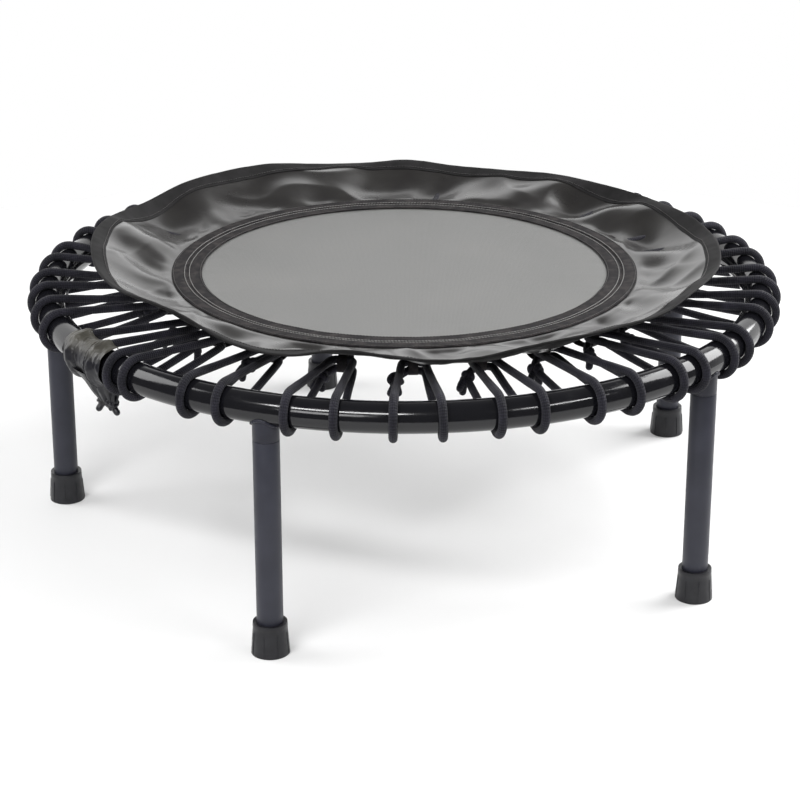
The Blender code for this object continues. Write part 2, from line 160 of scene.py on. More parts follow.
def pick(obj, test, what="FACE"):
    """In edit mode, selects the faces, edges or vertices that pass the test."""
    bpy.ops.mesh.select_mode(type=what)
    bpy.ops.mesh.select_all(action="DESELECT")
    shape = bmesh.from_edit_mesh(obj.data)
    shape.normal_update()
    for part in {"FACE": shape.faces, "EDGE": shape.edges, "VERT": shape.verts}[what]:
        if test(part):
            part.select_set(True)
    shape.select_flush_mode()
    bmesh.update_edit_mesh(obj.data)


def cut_across(*heights):
    """In edit mode, cuts new edges right across the piece at each height."""
    for height in heights:
        bpy.ops.mesh.select_all(action="SELECT")
        bpy.ops.mesh.bisect(plane_co=(0, 0, height), plane_no=(0, 0, 1))


def named(name):
    obj = bpy.context.object
    obj.name = name
    obj.data.name = name
    return obj


def settle(obj):
    """Moves the piece's place into its mesh, so that its object sits at the origin."""
    activate(obj)
    bpy.ops.object.transform_apply(location=True, rotation=True, scale=True)
    return obj


def apply_modifier(obj, kind, **settings):
    activate(obj)
    modifier = obj.modifiers.new(kind.lower(), kind)
    for setting, value in settings.items():
        setattr(modifier, setting, value)
    bpy.ops.object.modifier_apply(modifier=modifier.name)


def cut_away(obj, tool):
    apply_modifier(obj, "BOOLEAN", object=tool, operation="DIFFERENCE", solver="EXACT")
    bpy.data.objects.remove(tool, do_unlink=True)


def tidy_normals(obj, distance=1e-6):
    edit(obj, select="SELECT")
    bpy.ops.mesh.remove_doubles(threshold=distance)
    bpy.ops.mesh.normals_make_consistent(inside=False)
    start()


def smooth(obj, angle=35.0):
    activate(obj)
    bpy.ops.object.shade_smooth_by_angle(angle=math.radians(angle))
    return obj


def copy_of(obj, name, turn=0.0, place=(0, 0, 0)):
    """A copy with its own mesh, turned about +Z and then moved."""
    made = obj.copy()
    made.data = obj.data.copy()
    made.name = name
    made.data.name = name
    made.data.transform(Matrix.Translation(place) @ Matrix.Rotation(turn, 4, "Z"))
    bpy.context.scene.collection.objects.link(made)
    return made


def object_from(shape, name):
    """A smooth object from a finished bmesh."""
    mesh = bpy.data.meshes.new(name)
    shape.to_mesh(mesh)
    shape.free()
    mesh.shade_smooth()
    made = bpy.data.objects.new(name, mesh)
    bpy.context.scene.collection.objects.link(made)
    return made


def join(first, *others):
    activate(first)
    for other in others:
        other.select_set(True)
    bpy.ops.object.join()
    return first


def dress(obj, material):
    obj.data.materials.clear()
    obj.data.materials.append(material)
    return obj


def size_of(obj):
    return f"{obj.name}: {len(obj.data.polygons)} faces"


def around(angle, radius, height):
    """A point by its angle round the trampoline, its distance from the middle and its height."""
    turn = math.radians(angle)
    return Vector((radius * math.cos(turn), radius * math.sin(turn), height))


def beside(angle, radius, aside, height):
    """As around(), and then moved sideways along the ring."""
    turn = math.radians(angle)
    return around(angle, radius, height) + aside * Vector((-math.sin(turn), math.cos(turn), 0))


def radius_at(point):
    return math.hypot(point.x, point.y)


# %% [markdown]
# ## Finishes
# Every finish is a small set of nodes around one Principled shader. Patterns read the object's own
# coordinates in metres, or a UV map where the pattern has to run along the piece, so a weave keeps
# its real pitch. Numbers that are the same all over stay on the shader itself.

# %% Helpers for finishes
class Nodes:
    """A node tree, and short ways to add nodes to it. The room's light uses them too."""

    def __init__(self, owner):
        owner.use_nodes = True
        self.tree = owner.node_tree

    def node(self, kind, inputs=None, **settings):
        made = self.tree.nodes.new(kind)
        for setting, value in settings.items():
            setattr(made, setting, value)
        for socket, value in (inputs or {}).items():
            if isinstance(value, bpy.types.NodeSocket):
                self.tree.links.new(value, made.inputs[socket])
            else:
                made.inputs[socket].default_value = value
        return made

    def maths(self, operation, first, second=0.0):
        return self.node("ShaderNodeMath", {0: first, 1: second}, operation=operation).outputs[0]

    def with_share(self, base, extra, share):
        """The base with a share of something else added."""
        return self.maths("ADD", base, self.maths("MULTIPLY", extra, share))

    def spread(self, value, low, high, to_low, to_high, shape="LINEAR"):
        inputs = {"Value": value, "From Min": low, "From Max": high, "To Min": to_low, "To Max": to_high}
        return self.node("ShaderNodeMapRange", inputs, interpolation_type=shape).outputs[0]


class Finish(Nodes):
    """A material with its shader, and short ways to vary its sockets."""

    def __init__(self, name, colour, roughness, **sockets):
        self.material = bpy.data.materials.new(name)
        self.material.diffuse_color = (*colour, 1.0)
        super().__init__(self.material)
        self.shader = self.tree.nodes["Principled BSDF"]
        self.shader.inputs["Base Color"].default_value = (*colour, 1.0)
        self.shader.inputs["Roughness"].default_value = roughness
        for socket, value in sockets.items():
            self.shader.inputs[socket.replace("_", " ")].default_value = value

    def place(self, source="Object"):
        where = self.node("ShaderNodeTexCoord").outputs[source]
        return self.node("ShaderNodeMapping", {"Vector": where}).outputs["Vector"]

    def noise(self, scale, detail=3.0, where=None):
        where = where or self.place()
        inputs = {"Vector": where, "Scale": scale, "Detail": detail}
        return self.node("ShaderNodeTexNoise", inputs).outputs["Fac"]

    def waves(self, where, direction, pitch):
        """Bands with one crest every pitch metres."""
        inputs = {"Vector": where, "Scale": 0.314159 / pitch, "Distortion": 0.0}
        made = self.node("ShaderNodeTexWave", inputs, bands_direction=direction)
        return made.outputs["Fac"]

    def colours(self, value, *stops):
        """A ramp through (position, colour) stops."""
        ramp = self.node("ShaderNodeValToRGB", {"Fac": value})
        bar = ramp.color_ramp
        while len(bar.elements) < len(stops):
            bar.elements.new(0.5)
        for element, (position, colour) in zip(bar.elements, stops):
            element.position = position
            element.color = (*colour, 1.0)
        self.tree.links.new(ramp.outputs["Color"], self.shader.inputs["Base Color"])

    def rough(self, value, low, high, smoothest, roughest):
        made = self.spread(value, low, high, smoothest, roughest)
        self.tree.links.new(made, self.shader.inputs["Roughness"])

    def bump(self, height, distance, strength=1.0):
        inputs = {"Height": height, "Distance": distance, "Strength": strength}
        made = self.node("ShaderNodeBump", inputs)
        self.tree.links.new(made.outputs["Normal"], self.shader.inputs["Normal"])


# %% [markdown]
# ### Metal and rubber
# The ring is painted gloss black: nearly mirror smooth, with a slight orange peel that bends the
# reflections. Its collars are sprayed a duller blue black after welding. The legs are powder coated in
# a dark blue grey, which leaves a fine pebbled surface. Studs and washers are zinc plated, and the
# feet are moulded rubber.

# %% Metal and rubber
black = Finish("gloss_black_paint", (0.0050, 0.0050, 0.0065), 0.12, Specular_IOR_Level=0.42)
black.rough(black.noise(45.0), 0.35, 0.75, 0.08, 0.20)
black.bump(black.noise(420.0, 2.0), 0.00008, 0.5)

satin = Finish("collar_paint", (0.013, 0.014, 0.022), 0.40, Specular_IOR_Level=0.3)
satin.colours(satin.noise(50.0), (0.3, (0.010, 0.010, 0.017)), (0.75, (0.017, 0.018, 0.029)))
satin.rough(satin.noise(80.0), 0.3, 0.8, 0.34, 0.50)
satin.bump(satin.noise(700.0, 2.0), 0.00012, 0.6)

grey = Finish("leg_powder_coat", (0.023, 0.024, 0.034), 0.42, Specular_IOR_Level=0.35)
grey.colours(grey.noise(30.0), (0.3, (0.019, 0.020, 0.029)), (0.75, (0.027, 0.028, 0.040)))
grey.rough(grey.noise(60.0), 0.3, 0.8, 0.38, 0.52)
grey.bump(grey.noise(1500.0, 1.0), 0.00012, 0.6)

zinc = Finish("zinc_plate", (0.55, 0.55, 0.53), 0.35, Metallic=1.0)
zinc.colours(zinc.noise(160.0), (0.3, (0.42, 0.42, 0.43)), (0.7, (0.60, 0.60, 0.57)))
zinc.rough(zinc.noise(90.0), 0.3, 0.7, 0.25, 0.45)

rubber = Finish("foot_rubber", (0.009, 0.009, 0.011), 0.45, Specular_IOR_Level=0.4)
rubber.colours(rubber.noise(70.0), (0.3, (0.006, 0.006, 0.008)), (0.8, (0.014, 0.014, 0.017)))
rubber.rough(rubber.noise(120.0), 0.3, 0.8, 0.32, 0.55)
rubber.bump(rubber.noise(900.0, 2.0), 0.00008, 0.4)
print("finishes:", black.material.name, grey.material.name, zinc.material.name, rubber.material.name)

# %% [markdown]
# ### Cloth, webbing and film
# The mat is a tight plain weave of flat plastic threads: two sets of bands at right angles give
# its grid. Webbing has ribs across its run. Vinyl is smooth, with fine creases that catch light.
# A cord's braid is two sets of helical bands, on a UV map that runs along the cord in metres. The
# film round the ring is dusty on top, so its colour follows the height.

# %% Cloth, webbing and film
cloth = Finish("mat_weave", (0.115, 0.115, 0.112), 0.46)
weave_place = cloth.place()
warp, weft = (cloth.waves(weave_place, direction, 0.0017) for direction in "XY")
weave = cloth.maths("MULTIPLY", warp, weft)
cloth_mottle = cloth.noise(9.0, 5.0)
cloth_tone = cloth.with_share(cloth_mottle, weave, 0.25)
cloth.colours(cloth_tone, (0.35, (0.094, 0.095, 0.092)), (0.90, (0.138, 0.137, 0.133)))
cloth.rough(cloth_mottle, 0.3, 0.7, 0.38, 0.50)
cloth.bump(weave, 0.00022, 0.7)

webbing = Finish("edge_webbing_weave", (0.014, 0.012, 0.012), 0.78, Specular_IOR_Level=0.2)
rib_place = webbing.place("UV")
ribs = webbing.waves(rib_place, "X", 0.0021)
cross = webbing.waves(rib_place, "Y", 0.0013)
web_tone = webbing.with_share(webbing.noise(85.0, 5.0), ribs, 0.35)
webbing.colours(web_tone, (0.42, (0.005, 0.004, 0.005)), (0.90, (0.040, 0.034, 0.033)))
webbing.bump(webbing.maths("ADD", ribs, cross), 0.00045, 0.9)

vinyl = Finish("skirt_vinyl", (0.012, 0.011, 0.011), 0.28, Coat_Weight=0.3, Coat_Roughness=0.20)
vinyl_creases = vinyl.noise(20.0, 3.0)
vinyl.colours(vinyl_creases, (0.30, (0.009, 0.008, 0.008)), (0.75, (0.017, 0.016, 0.015)))
vinyl.rough(vinyl.noise(14.0, 4.0), 0.3, 0.75, 0.24, 0.40)
vinyl.bump(vinyl.with_share(vinyl_creases, vinyl.noise(1400.0, 2.0), 0.04), 0.0010, 0.5)

tape = Finish("rim_tape", (0.008, 0.008, 0.008), 0.75, Specular_IOR_Level=0.2)
tape_ribs = tape.waves(tape.place("UV"), "X", 0.0016)
tape.colours(tape.noise(60.0, 4.0), (0.3, (0.004, 0.004, 0.004)), (0.8, (0.013, 0.012, 0.013)))
tape.bump(tape_ribs, 0.00025, 0.7)

thread = Finish("light_thread", (0.15, 0.15, 0.145), 0.55)
thread.colours(thread.noise(220.0), (0.3, (0.10, 0.099, 0.096)), (0.8, (0.20, 0.197, 0.190)))
dark_thread = Finish("dark_thread", (0.020, 0.018, 0.018), 0.6)
dark_thread.colours(dark_thread.noise(220.0), (0.3, (0.012, 0.011, 0.011)), (0.8, (0.032, 0.029, 0.029)))

elastic = Finish("cord_braid", (0.008, 0.008, 0.012), 0.70, Specular_IOR_Level=0.22, Sheen_Weight=0.04)
BRAID_PITCH = 0.0060
BRAID_STRANDS = 8
turns = elastic.node("ShaderNodeSeparateXYZ", {"Vector": elastic.place("UV")})
along = elastic.maths("MULTIPLY", turns.outputs["X"], 2 * math.pi / BRAID_PITCH)
about = elastic.maths("MULTIPLY", turns.outputs["Y"], 2 * math.pi * BRAID_STRANDS)
one_way = elastic.maths("SINE", elastic.maths("ADD", along, about))
other_way = elastic.maths("SINE", elastic.maths("SUBTRACT", along, about))
braid = elastic.maths("MULTIPLY", one_way, other_way)
elastic_tone = elastic.with_share(elastic.noise(45.0, 4.0), braid, 0.22)
elastic.colours(elastic_tone, (0.30, (0.003, 0.003, 0.006)), (0.85, (0.017, 0.016, 0.026)))
elastic.bump(braid, 0.00055, 0.9)

film = Finish("dark_film", (0.010, 0.010, 0.013), 0.36, Specular_IOR_Level=0.4)
film_height = film.node("ShaderNodeSeparateXYZ", {"Vector": film.place()}).outputs["Z"]
film_dust = film.spread(film_height, RING_HEIGHT + 0.010, RING_HEIGHT + 0.026, 0.0, 0.55)
film_tone = film.with_share(film_dust, film.noise(60.0, 5.0), 0.6)
film.colours(film_tone, (0.30, (0.006, 0.006, 0.009)), (0.90, (0.048, 0.045, 0.036)))
film.rough(film.noise(60.0), 0.3, 0.7, 0.30, 0.50)
film.bump(film.noise(150.0, 3.0), 0.0006, 0.5)
print("finishes:", cloth.material.name, webbing.material.name, vinyl.material.name, elastic.material.name)

# %% [markdown]
# ## Ring
# The frame is one steel tube bent into a circle, with its two ends butt welded at the back. A torus
# is the bent tube already. Four cuts across its back give the weld a narrow band of points to raise
# into a low bead, and a small drilled hole waits above each leg for the leg's stud.

# %% Ring
RING_WELD_CUTS = (-0.0030, -0.0012, 0.0012, 0.0030)
RING_WELD_HEIGHT = 0.0008


def at_back(part, width):
    middle = part.calc_center_median() if hasattr(part, "calc_center_median") else part.co
    return middle.y > 0.4 and abs(middle.x) < width


start()
bpy.ops.mesh.primitive_torus_add(
    location=(0, 0, RING_HEIGHT),
    major_radius=RING_RADIUS,
    minor_radius=TUBE_RADIUS,
    major_segments=240,
    minor_segments=32,
)
ring = settle(named("ring_tube"))
edit(ring)
for offset in RING_WELD_CUTS:
    pick(ring, lambda face: at_back(face, 0.03))
    bpy.ops.mesh.bisect(plane_co=(offset, 0, 0), plane_no=(1, 0, 0))
pick(ring, lambda vert: at_back(vert, 0.0020), "VERT")
bpy.ops.transform.shrink_fatten(value=RING_WELD_HEIGHT)
start()
for place in LEG_PLACES:
    start()
    bpy.ops.mesh.primitive_cylinder_add(
        vertices=32,
        radius=STUD_RADIUS + 0.0008,
        depth=2 * (STUD_TOP - RING_HEIGHT + TUBE_RADIUS + 0.0010),
        location=(*place, RING_HEIGHT - TUBE_RADIUS),
    )
    cut_away(ring, settle(named("stud_drill")))
dress(smooth(ring, 50), black.material)
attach(ring, "frame")
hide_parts("frame_ring")
print(size_of(ring))

# %% [markdown]
# ## Collars
# Each leg screws into a short collar whose top is cut to a saddle that hugs the ring. The cut is a
# Boolean with a torus a hair thicker than the tube. The weld is a rippled bead laid along the saddle
# where collar and tube meet, and one helper sweeps a round section along any such line. The cords
# use the same helper later, so it also lays a UV map with the distance along the line in metres.

# %% A round section swept along a line
def frames_along(points, closed):
    """The line, and two directions across it at each point, turning as little as they can."""
    line = np.array([tuple(point) for point in points])
    if closed:
        ahead = np.roll(line, -1, 0) - np.roll(line, 1, 0)
    else:
        ahead = np.gradient(line, axis=0)
    ahead /= np.linalg.norm(ahead, axis=1)[:, None]
    across = np.cross(ahead[0], (0.0, 0.0, 1.0) if abs(ahead[0][2]) < 0.9 else (1.0, 0.0, 0.0))
    first = [across / np.linalg.norm(across)]
    for direction in ahead[1:]:
        carried = first[-1] - direction * (first[-1] @ direction)
        first.append(carried / np.linalg.norm(carried))
    first = np.array(first)
    if closed:
        second = np.cross(ahead[0], first[0])
        carried = first[-1] - ahead[0] * (first[-1] @ ahead[0])
        twist = math.atan2(carried @ second, carried @ first[0])
        turns = -twist * np.arange(len(line)) / len(line)
        other = np.cross(ahead, first)
        first = first * np.cos(turns)[:, None] + other * np.sin(turns)[:, None]
    return line, first, np.cross(ahead, first)


def sweep(name, points, radii, sides, closed=False):
    """A tube along the points, with round ends if it is open, and a UV map in metres and turns."""
    if not closed:
        points, radii = with_round_ends(points, radii)
    line, first, second = frames_along(points, closed)
    radii = np.broadcast_to(np.asarray(radii, float), (len(line),))
    turns = np.linspace(0, 2 * math.pi, sides, endpoint=False)
    rims = (
        line[:, None]
        + first[:, None] * (radii[:, None] * np.cos(turns))[:, :, None]
        + second[:, None] * (radii[:, None] * np.sin(turns))[:, :, None]
    )
    steps = np.linalg.norm(np.diff(np.vstack([line, line[:1]]), axis=0), axis=1)
    lengths = np.concatenate([[0], np.cumsum(steps)])
    shape = bmesh.new()
    layer = shape.loops.layers.uv.new("UVMap")
    corners = [[shape.verts.new(point) for point in rim] for rim in rims]
    for row in range(len(line) if closed else len(line) - 1):
        after = (row + 1) % len(line)
        for side in range(sides):
            beyond = (side + 1) % sides
            loop = (corners[row][side], corners[row][beyond], corners[after][beyond], corners[after][side])
            face = shape.faces.new(loop)
            marks = ((row, side), (row, side + 1), (row + 1, side + 1), (row + 1, side))
            for corner, (length_at, turn_at) in zip(face.loops, marks):
                corner[layer].uv = (lengths[length_at], turn_at / sides)
    if not closed:
        shape.faces.new(list(reversed(corners[0])))
        shape.faces.new(corners[-1])
    bmesh.ops.recalc_face_normals(shape, faces=shape.faces)
    return object_from(shape, name)


def with_round_ends(points, radii):
    """The line with a few narrowing steps past each end."""
    points = [Vector(point) for point in points]
    radii = list(np.broadcast_to(np.asarray(radii, float), (len(points),)))
    tail_out = (points[-1] - points[-2]).normalized()
    head_out = (points[0] - points[1]).normalized()
    steps = [math.radians(turn) for turn in (30, 55, 75, 86)]
    tail = [points[-1] + tail_out * radii[-1] * math.sin(turn) for turn in steps]
    head = [points[0] + head_out * radii[0] * math.sin(turn) for turn in reversed(steps)]
    tail_radii = [radii[-1] * math.cos(turn) for turn in steps]
    head_radii = [radii[0] * math.cos(turn) for turn in reversed(steps)]
    return head + points + tail, head_radii + radii + tail_radii


def curve_through(points, closed=False, spacing=0.004):
    """A smooth line through the points, with a point about every spacing metres."""
    points = [Vector(point) for point in points]
    count = len(points)
    smooth_line = []
    for number in range(count if closed else count - 1):
        if closed:
            before, here, there, after = (points[(number + shift) % count] for shift in (-1, 0, 1, 2))
        else:
            before, here = points[max(number - 1, 0)], points[number]
            there, after = points[number + 1], points[min(number + 2, count - 1)]
        pull_here = (there - before) * 0.5
        pull_there = (after - here) * 0.5
        span = (there - here).length
        pull_here = pull_here.normalized() * min(pull_here.length, span)
        pull_there = pull_there.normalized() * min(pull_there.length, span)
        pieces = max(1, round(span / spacing))
        for piece in range(pieces):
            t = piece / pieces
            smooth_line.append(
                here * (2 * t**3 - 3 * t**2 + 1)
                + pull_here * (t**3 - 2 * t**2 + t)
                + there * (3 * t**2 - 2 * t**3)
                + pull_there * (t**3 - t**2)
            )
    if not closed:
        smooth_line.append(points[-1])
    return smooth_line


# %% One collar and its weld
def saddle_height(out, aside):
    """The underside of the ring above a point beside the leg's axis."""
    off_middle = math.hypot(RING_RADIUS + out, aside) - RING_RADIUS
    return RING_HEIGHT - math.sqrt(TUBE_RADIUS**2 - off_middle**2)


COLLAR_TOP = saddle_height(LEG_RADIUS, 0) + 0.0010
COLLAR_BEVEL = 0.0007
BORE_RADIUS = STUD_RADIUS + 0.0005
BORE_DEPTH = 0.0270
WELD_RADIUS = 0.0021
WELD_RIPPLES = 26
WELD_STEPS = 156
start()
bpy.ops.mesh.primitive_cylinder_add(
    vertices=72,
    radius=LEG_RADIUS,
    depth=COLLAR_TOP - COLLAR_BOTTOM,
    location=(RING_RADIUS, 0, (COLLAR_TOP + COLLAR_BOTTOM) / 2),
)
collar = settle(named("collar"))
edit(collar)
pick(collar, lambda face: face.normal.z < -0.9)
bpy.ops.mesh.bevel(offset=COLLAR_BEVEL, segments=3)
pick(collar, lambda face: face.normal.z < -0.9 and len(face.verts) > 8)
bpy.ops.mesh.inset(thickness=LEG_RADIUS - COLLAR_BEVEL - BORE_RADIUS)
bpy.ops.mesh.extrude_region_move(TRANSFORM_OT_translate={"value": (0, 0, BORE_DEPTH)})
start()
bpy.ops.mesh.primitive_torus_add(
    location=(0, 0, RING_HEIGHT),
    major_radius=RING_RADIUS,
    minor_radius=TUBE_RADIUS + 0.0002,
    major_segments=240,
    minor_segments=48,
)
cut_away(collar, settle(named("saddle")))
bead_line, bead_radii = [], []
for step in range(WELD_STEPS):
    turn = 2 * math.pi * step / WELD_STEPS
    reach = LEG_RADIUS + 0.0006
    out, aside = reach * math.cos(turn), reach * math.sin(turn)
    bead_line.append(Vector((RING_RADIUS + out, aside, saddle_height(out, aside) - 0.0005)))
    bead_radii.append(WELD_RADIUS * (0.86 + 0.24 * abs(math.sin(turn * WELD_RIPPLES / 2))))
bead = sweep("weld", bead_line, bead_radii, 14, closed=True)
collar = join(smooth(collar), bead)
print(size_of(collar))

# %% Five collars
for number, angle in enumerate(LEG_ANGLES, start=1):
    made = dress(copy_of(collar, f"collar_{number}", math.radians(angle)), satin.material)
    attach(made, "frame")
    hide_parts(f"leg_socket_{number}")
bpy.data.objects.remove(collar, do_unlink=True)
print("five collars, each with its weld bead")

# %% [markdown]
# ## Legs
# A leg is a straight tube with its ends cut square and the burrs taken off. Insetting both end faces
# and bridging the two inner rims makes it hollow, and a narrow bevel rounds the ends. Each leg is
# modelled on its own axis and copied to its place under the ring.

# %% One leg
def on_axis_cylinder(name, radius, low, high, sides=72):
    start()
    bpy.ops.mesh.primitive_cylinder_add(
        vertices=sides, radius=radius, depth=high - low, location=(0, 0, (low + high) / 2)
    )
    return settle(named(name))


def is_end(face):
    return abs(face.normal.z) > 0.9


leg = on_axis_cylinder("leg", LEG_RADIUS, LEG_BOTTOM, LEG_TOP)
edit(leg)
pick(leg, is_end)
bpy.ops.mesh.inset(thickness=LEG_WALL)
pick(leg, lambda face: is_end(face) and len(face.verts) > 8)
bpy.ops.mesh.bridge_edge_loops()
pick(leg, is_end)
bpy.ops.mesh.region_to_loop()
bpy.ops.mesh.bevel(offset=0.0004, segments=2)
smooth(leg, 40)
dress(leg, grey.material)
print(size_of(leg))

# %% [markdown]
# ## Studs
# The stud that screws into the collar stands on a plug pressed into the leg's top. Its thread is one
# tooth of the profile drawn upright beside the axis, and the Screw modifier carries it round and up
# in a helix. Bisecting with a fill then cuts both ends flat.

# %% One stud
THREAD_PITCH = 0.00175
THREAD_ROOT = STUD_RADIUS - 0.0010
THREAD_CREST = STUD_RADIUS - 0.0001
THREAD_STEPS = 28
thread_turns = math.ceil((STUD_TOP - LEG_TOP) / THREAD_PITCH) + 2
tooth = ((0.0, THREAD_ROOT), (0.40, THREAD_CREST), (0.58, THREAD_CREST), (1.0, THREAD_ROOT))
start()
bpy.ops.mesh.primitive_circle_add(vertices=4, radius=0.001, fill_type="NOTHING")
stud = named("stud")
edit(stud, "EDGE")
shape = bmesh.from_edit_mesh(stud.data)
shape.verts.ensure_lookup_table()
for vert, (share, out) in zip(shape.verts, tooth):
    vert.co = (out, 0, LEG_TOP - 0.5 * THREAD_PITCH + share * THREAD_PITCH)
shape.edges.ensure_lookup_table()
closing = [edge for edge in shape.edges if edge.calc_length() > 0.95 * THREAD_PITCH]
bmesh.ops.delete(shape, geom=closing, context="EDGES")
bmesh.update_edit_mesh(stud.data)
start()
apply_modifier(
    stud,
    "SCREW",
    axis="Z",
    angle=2 * math.pi,
    screw_offset=THREAD_PITCH,
    iterations=thread_turns,
    steps=THREAD_STEPS,
    render_steps=THREAD_STEPS,
    use_merge_vertices=False,
)
tidy_normals(stud, 0.00002)
for height, up in ((LEG_TOP - 0.0002, -1), (STUD_TOP - 0.0004, 1)):
    edit(stud, select="SELECT")
    bpy.ops.mesh.bisect(plane_co=(0, 0, height), plane_no=(0, 0, up), use_fill=True, clear_outer=True)
plug = on_axis_cylinder("plug", LEG_RADIUS - LEG_WALL - GAP, STUD_BOTTOM, LEG_TOP, 64)
edit(plug)
pick(plug, is_end)
bpy.ops.mesh.bevel(offset=0.0006, segments=2)
stud = join(smooth(plug), smooth(stud, 30))
dress(stud, zinc.material)
print(size_of(stud))

# %% [markdown]
# ## Feet
# Each foot is a thick rubber cap, wider at the sole. A cone gives the taper. Cuts across it mark the
# sole's edge and a low lip at the rim, and between them every twelfth strip of faces is extruded a
# little into a narrow grip rib. The top is inset and pushed down into the pocket for the leg.

# %% One foot
FOOT_RIBS = 8
SOLE_EDGE = 0.0020
SOLE_TOP = 0.0065
RIB_TOP = 0.0300
RIB_HEIGHT = 0.0007
LIP_BOTTOM = 0.0365
LIP_HEIGHT = 0.0003
start()
bpy.ops.mesh.primitive_cone_add(
    vertices=12 * FOOT_RIBS,
    radius1=FOOT_BASE_RADIUS - 0.0004,
    radius2=FOOT_RIM_RADIUS,
    depth=FOOT_HEIGHT,
    location=(0, 0, FOOT_HEIGHT / 2),
)
foot = settle(named("foot"))
edit(foot)
cut_across(SOLE_EDGE, SOLE_TOP, RIB_TOP, LIP_BOTTOM)


def on_rib(face):
    """True of the strips that become grip ribs."""
    middle = face.calc_center_median()
    share = math.atan2(middle.y, middle.x) / (2 * math.pi) * FOOT_RIBS
    return SOLE_EDGE < middle.z < RIB_TOP and (share % 1.0) < 1 / 12


pick(foot, on_rib)
bpy.ops.mesh.extrude_region_shrink_fatten(TRANSFORM_OT_shrink_fatten={"value": RIB_HEIGHT})
pick(foot, lambda face: LIP_BOTTOM < face.calc_center_median().z < FOOT_HEIGHT - 0.0001)
bpy.ops.mesh.extrude_region_shrink_fatten(TRANSFORM_OT_shrink_fatten={"value": LIP_HEIGHT})
pick(foot, lambda face: face.normal.z > 0.9 and len(face.verts) > 8)
bpy.ops.mesh.inset(thickness=FOOT_RIM_RADIUS - LEG_RADIUS - GAP)
bpy.ops.mesh.extrude_region_move(TRANSFORM_OT_translate={"value": (0, 0, FOOT_SOLE - FOOT_HEIGHT)})
start()
apply_modifier(foot, "BEVEL", width=0.0005, segments=2, limit_method="ANGLE", angle_limit=math.radians(38))
smooth(foot, 30)
dress(foot, rubber.material)
print(size_of(foot))

# %% Five legs with their studs and feet
kit = (
    (leg, "leg", "leg_tube", "leg_grey"),
    (stud, "stud", "leg_stud", "zinc"),
    (foot, "foot", "leg_foot", "foot_rubber"),
)
for number, place in enumerate(LEG_PLACES, start=1):
    for piece, name, node, slot in kit:
        made = copy_of(piece, f"{name}_{number}", math.radians(LEG_ANGLES[number - 1]), (*place, 0))
        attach(made, f"leg_{number}")
        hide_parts(f"{node}_{number}")
    dress(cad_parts[f"foot_washer_{number}"], zinc.material)
for piece, *_ in kit:
    bpy.data.objects.remove(piece, do_unlink=True)
print("five legs, each a tube, a stud and a foot over its steel washer")

# %% [markdown]
# ## Mat
# The mat is one round of plastic cloth stretched tight. A circle's edge, extruded inwards ring by
# ring, gives a sheet whose rings can be lowered or rippled, which a filled disc can't. The sewing
# presses the edge down a little and pulls short ripples into the cloth beside the webbing.

# %% A round sheet from rings
def ring_sheet(name, stations, steps=240):
    """A round sheet with an open middle: a circle's edge extruded through (radius, height) stations."""
    (radius, height), *rest = stations
    start()
    bpy.ops.mesh.primitive_circle_add(
        vertices=steps, radius=radius, fill_type="NOTHING", location=(0, 0, height)
    )
    sheet = settle(named(name))
    edit(sheet, "EDGE", "SELECT")
    for next_radius, next_height in rest:
        rise = {"value": (0, 0, next_height - height)}
        bpy.ops.mesh.extrude_edges_move(TRANSFORM_OT_translate=rise)
        share = next_radius / radius
        bpy.ops.transform.resize(value=(share, share, 1), center_override=(0, 0, next_height))
        radius, height = next_radius, next_height
    start()
    return sheet


def face_up(sheet):
    """Turns an open sheet's faces so that most of them look up."""
    if sum(face.normal.z * face.area for face in sheet.data.polygons) < 0:
        edit(sheet, select="SELECT")
        bpy.ops.mesh.flip_normals()
        start()


def ring_uv(sheet, radius):
    """A UV map in metres: along the ring, and across it."""
    layer = sheet.data.uv_layers.new(name="UVMap")
    for face in sheet.data.polygons:
        middle = math.atan2(face.center.y, face.center.x)
        for loop in face.loop_indices:
            point = sheet.data.vertices[sheet.data.loops[loop].vertex_index].co
            off = (math.atan2(point.y, point.x) - middle + math.pi) % (2 * math.pi) - math.pi
            layer.data[loop].uv = ((middle + off) * radius, radius_at(point) + point.z)


def ripple(angle, cells, seed):
    """Smooth noise round the ring, about -0.5 to 0.5, with so many cells in one turn."""
    turn = math.radians(angle)
    reach = cells / (2 * math.pi)
    return noise.noise((reach * math.cos(turn), reach * math.sin(turn), seed))


def angle_of(point):
    return math.degrees(math.atan2(point.y, point.x))


# %% Mat
SEAM = BAND_INNER_RADIUS - 0.0010
SEWN_TOP = WEBBING_BOTTOM - GAP
MAT_MIDDLE_RADIUS = 0.060
PUCKER_HEIGHT = 0.0005
PUCKER_REACH = 0.014
mat_rings = [(radius, SEWN_TOP) for radius in (MAT_RADIUS, 0.2920, BAND_INNER_RADIUS)]
mat_rings.append((SEAM - 0.0008, MAT_TOP - 0.0001))
for step in (0.004, 0.009, 0.015, 0.023, 0.033, 0.050, 0.090, 0.150, 0.215):
    mat_rings.append((SEAM - step, MAT_TOP))
mat = ring_sheet("mat", mat_rings, 360)
edit(mat, "EDGE")
pick(mat, lambda edge: all(radius_at(vert.co) < MAT_MIDDLE_RADIUS for vert in edge.verts), "EDGE")
bpy.ops.mesh.edge_face_add()
start()
for vert in mat.data.vertices:
    inwards = SEAM - radius_at(vert.co)
    if inwards > 0.001:
        near_seam = math.exp(-inwards / PUCKER_REACH)
        vert.co.z += PUCKER_HEIGHT * near_seam * (ripple(angle_of(vert.co), 95, 3.0) - 0.3)
face_up(mat)
apply_modifier(mat, "SOLIDIFY", thickness=SEWN_TOP - MAT_BOTTOM, offset=-1.0)
dress(smooth(mat, 50), cloth.material)
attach(mat, "mat")
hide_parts("jump_mat")
print(size_of(mat))

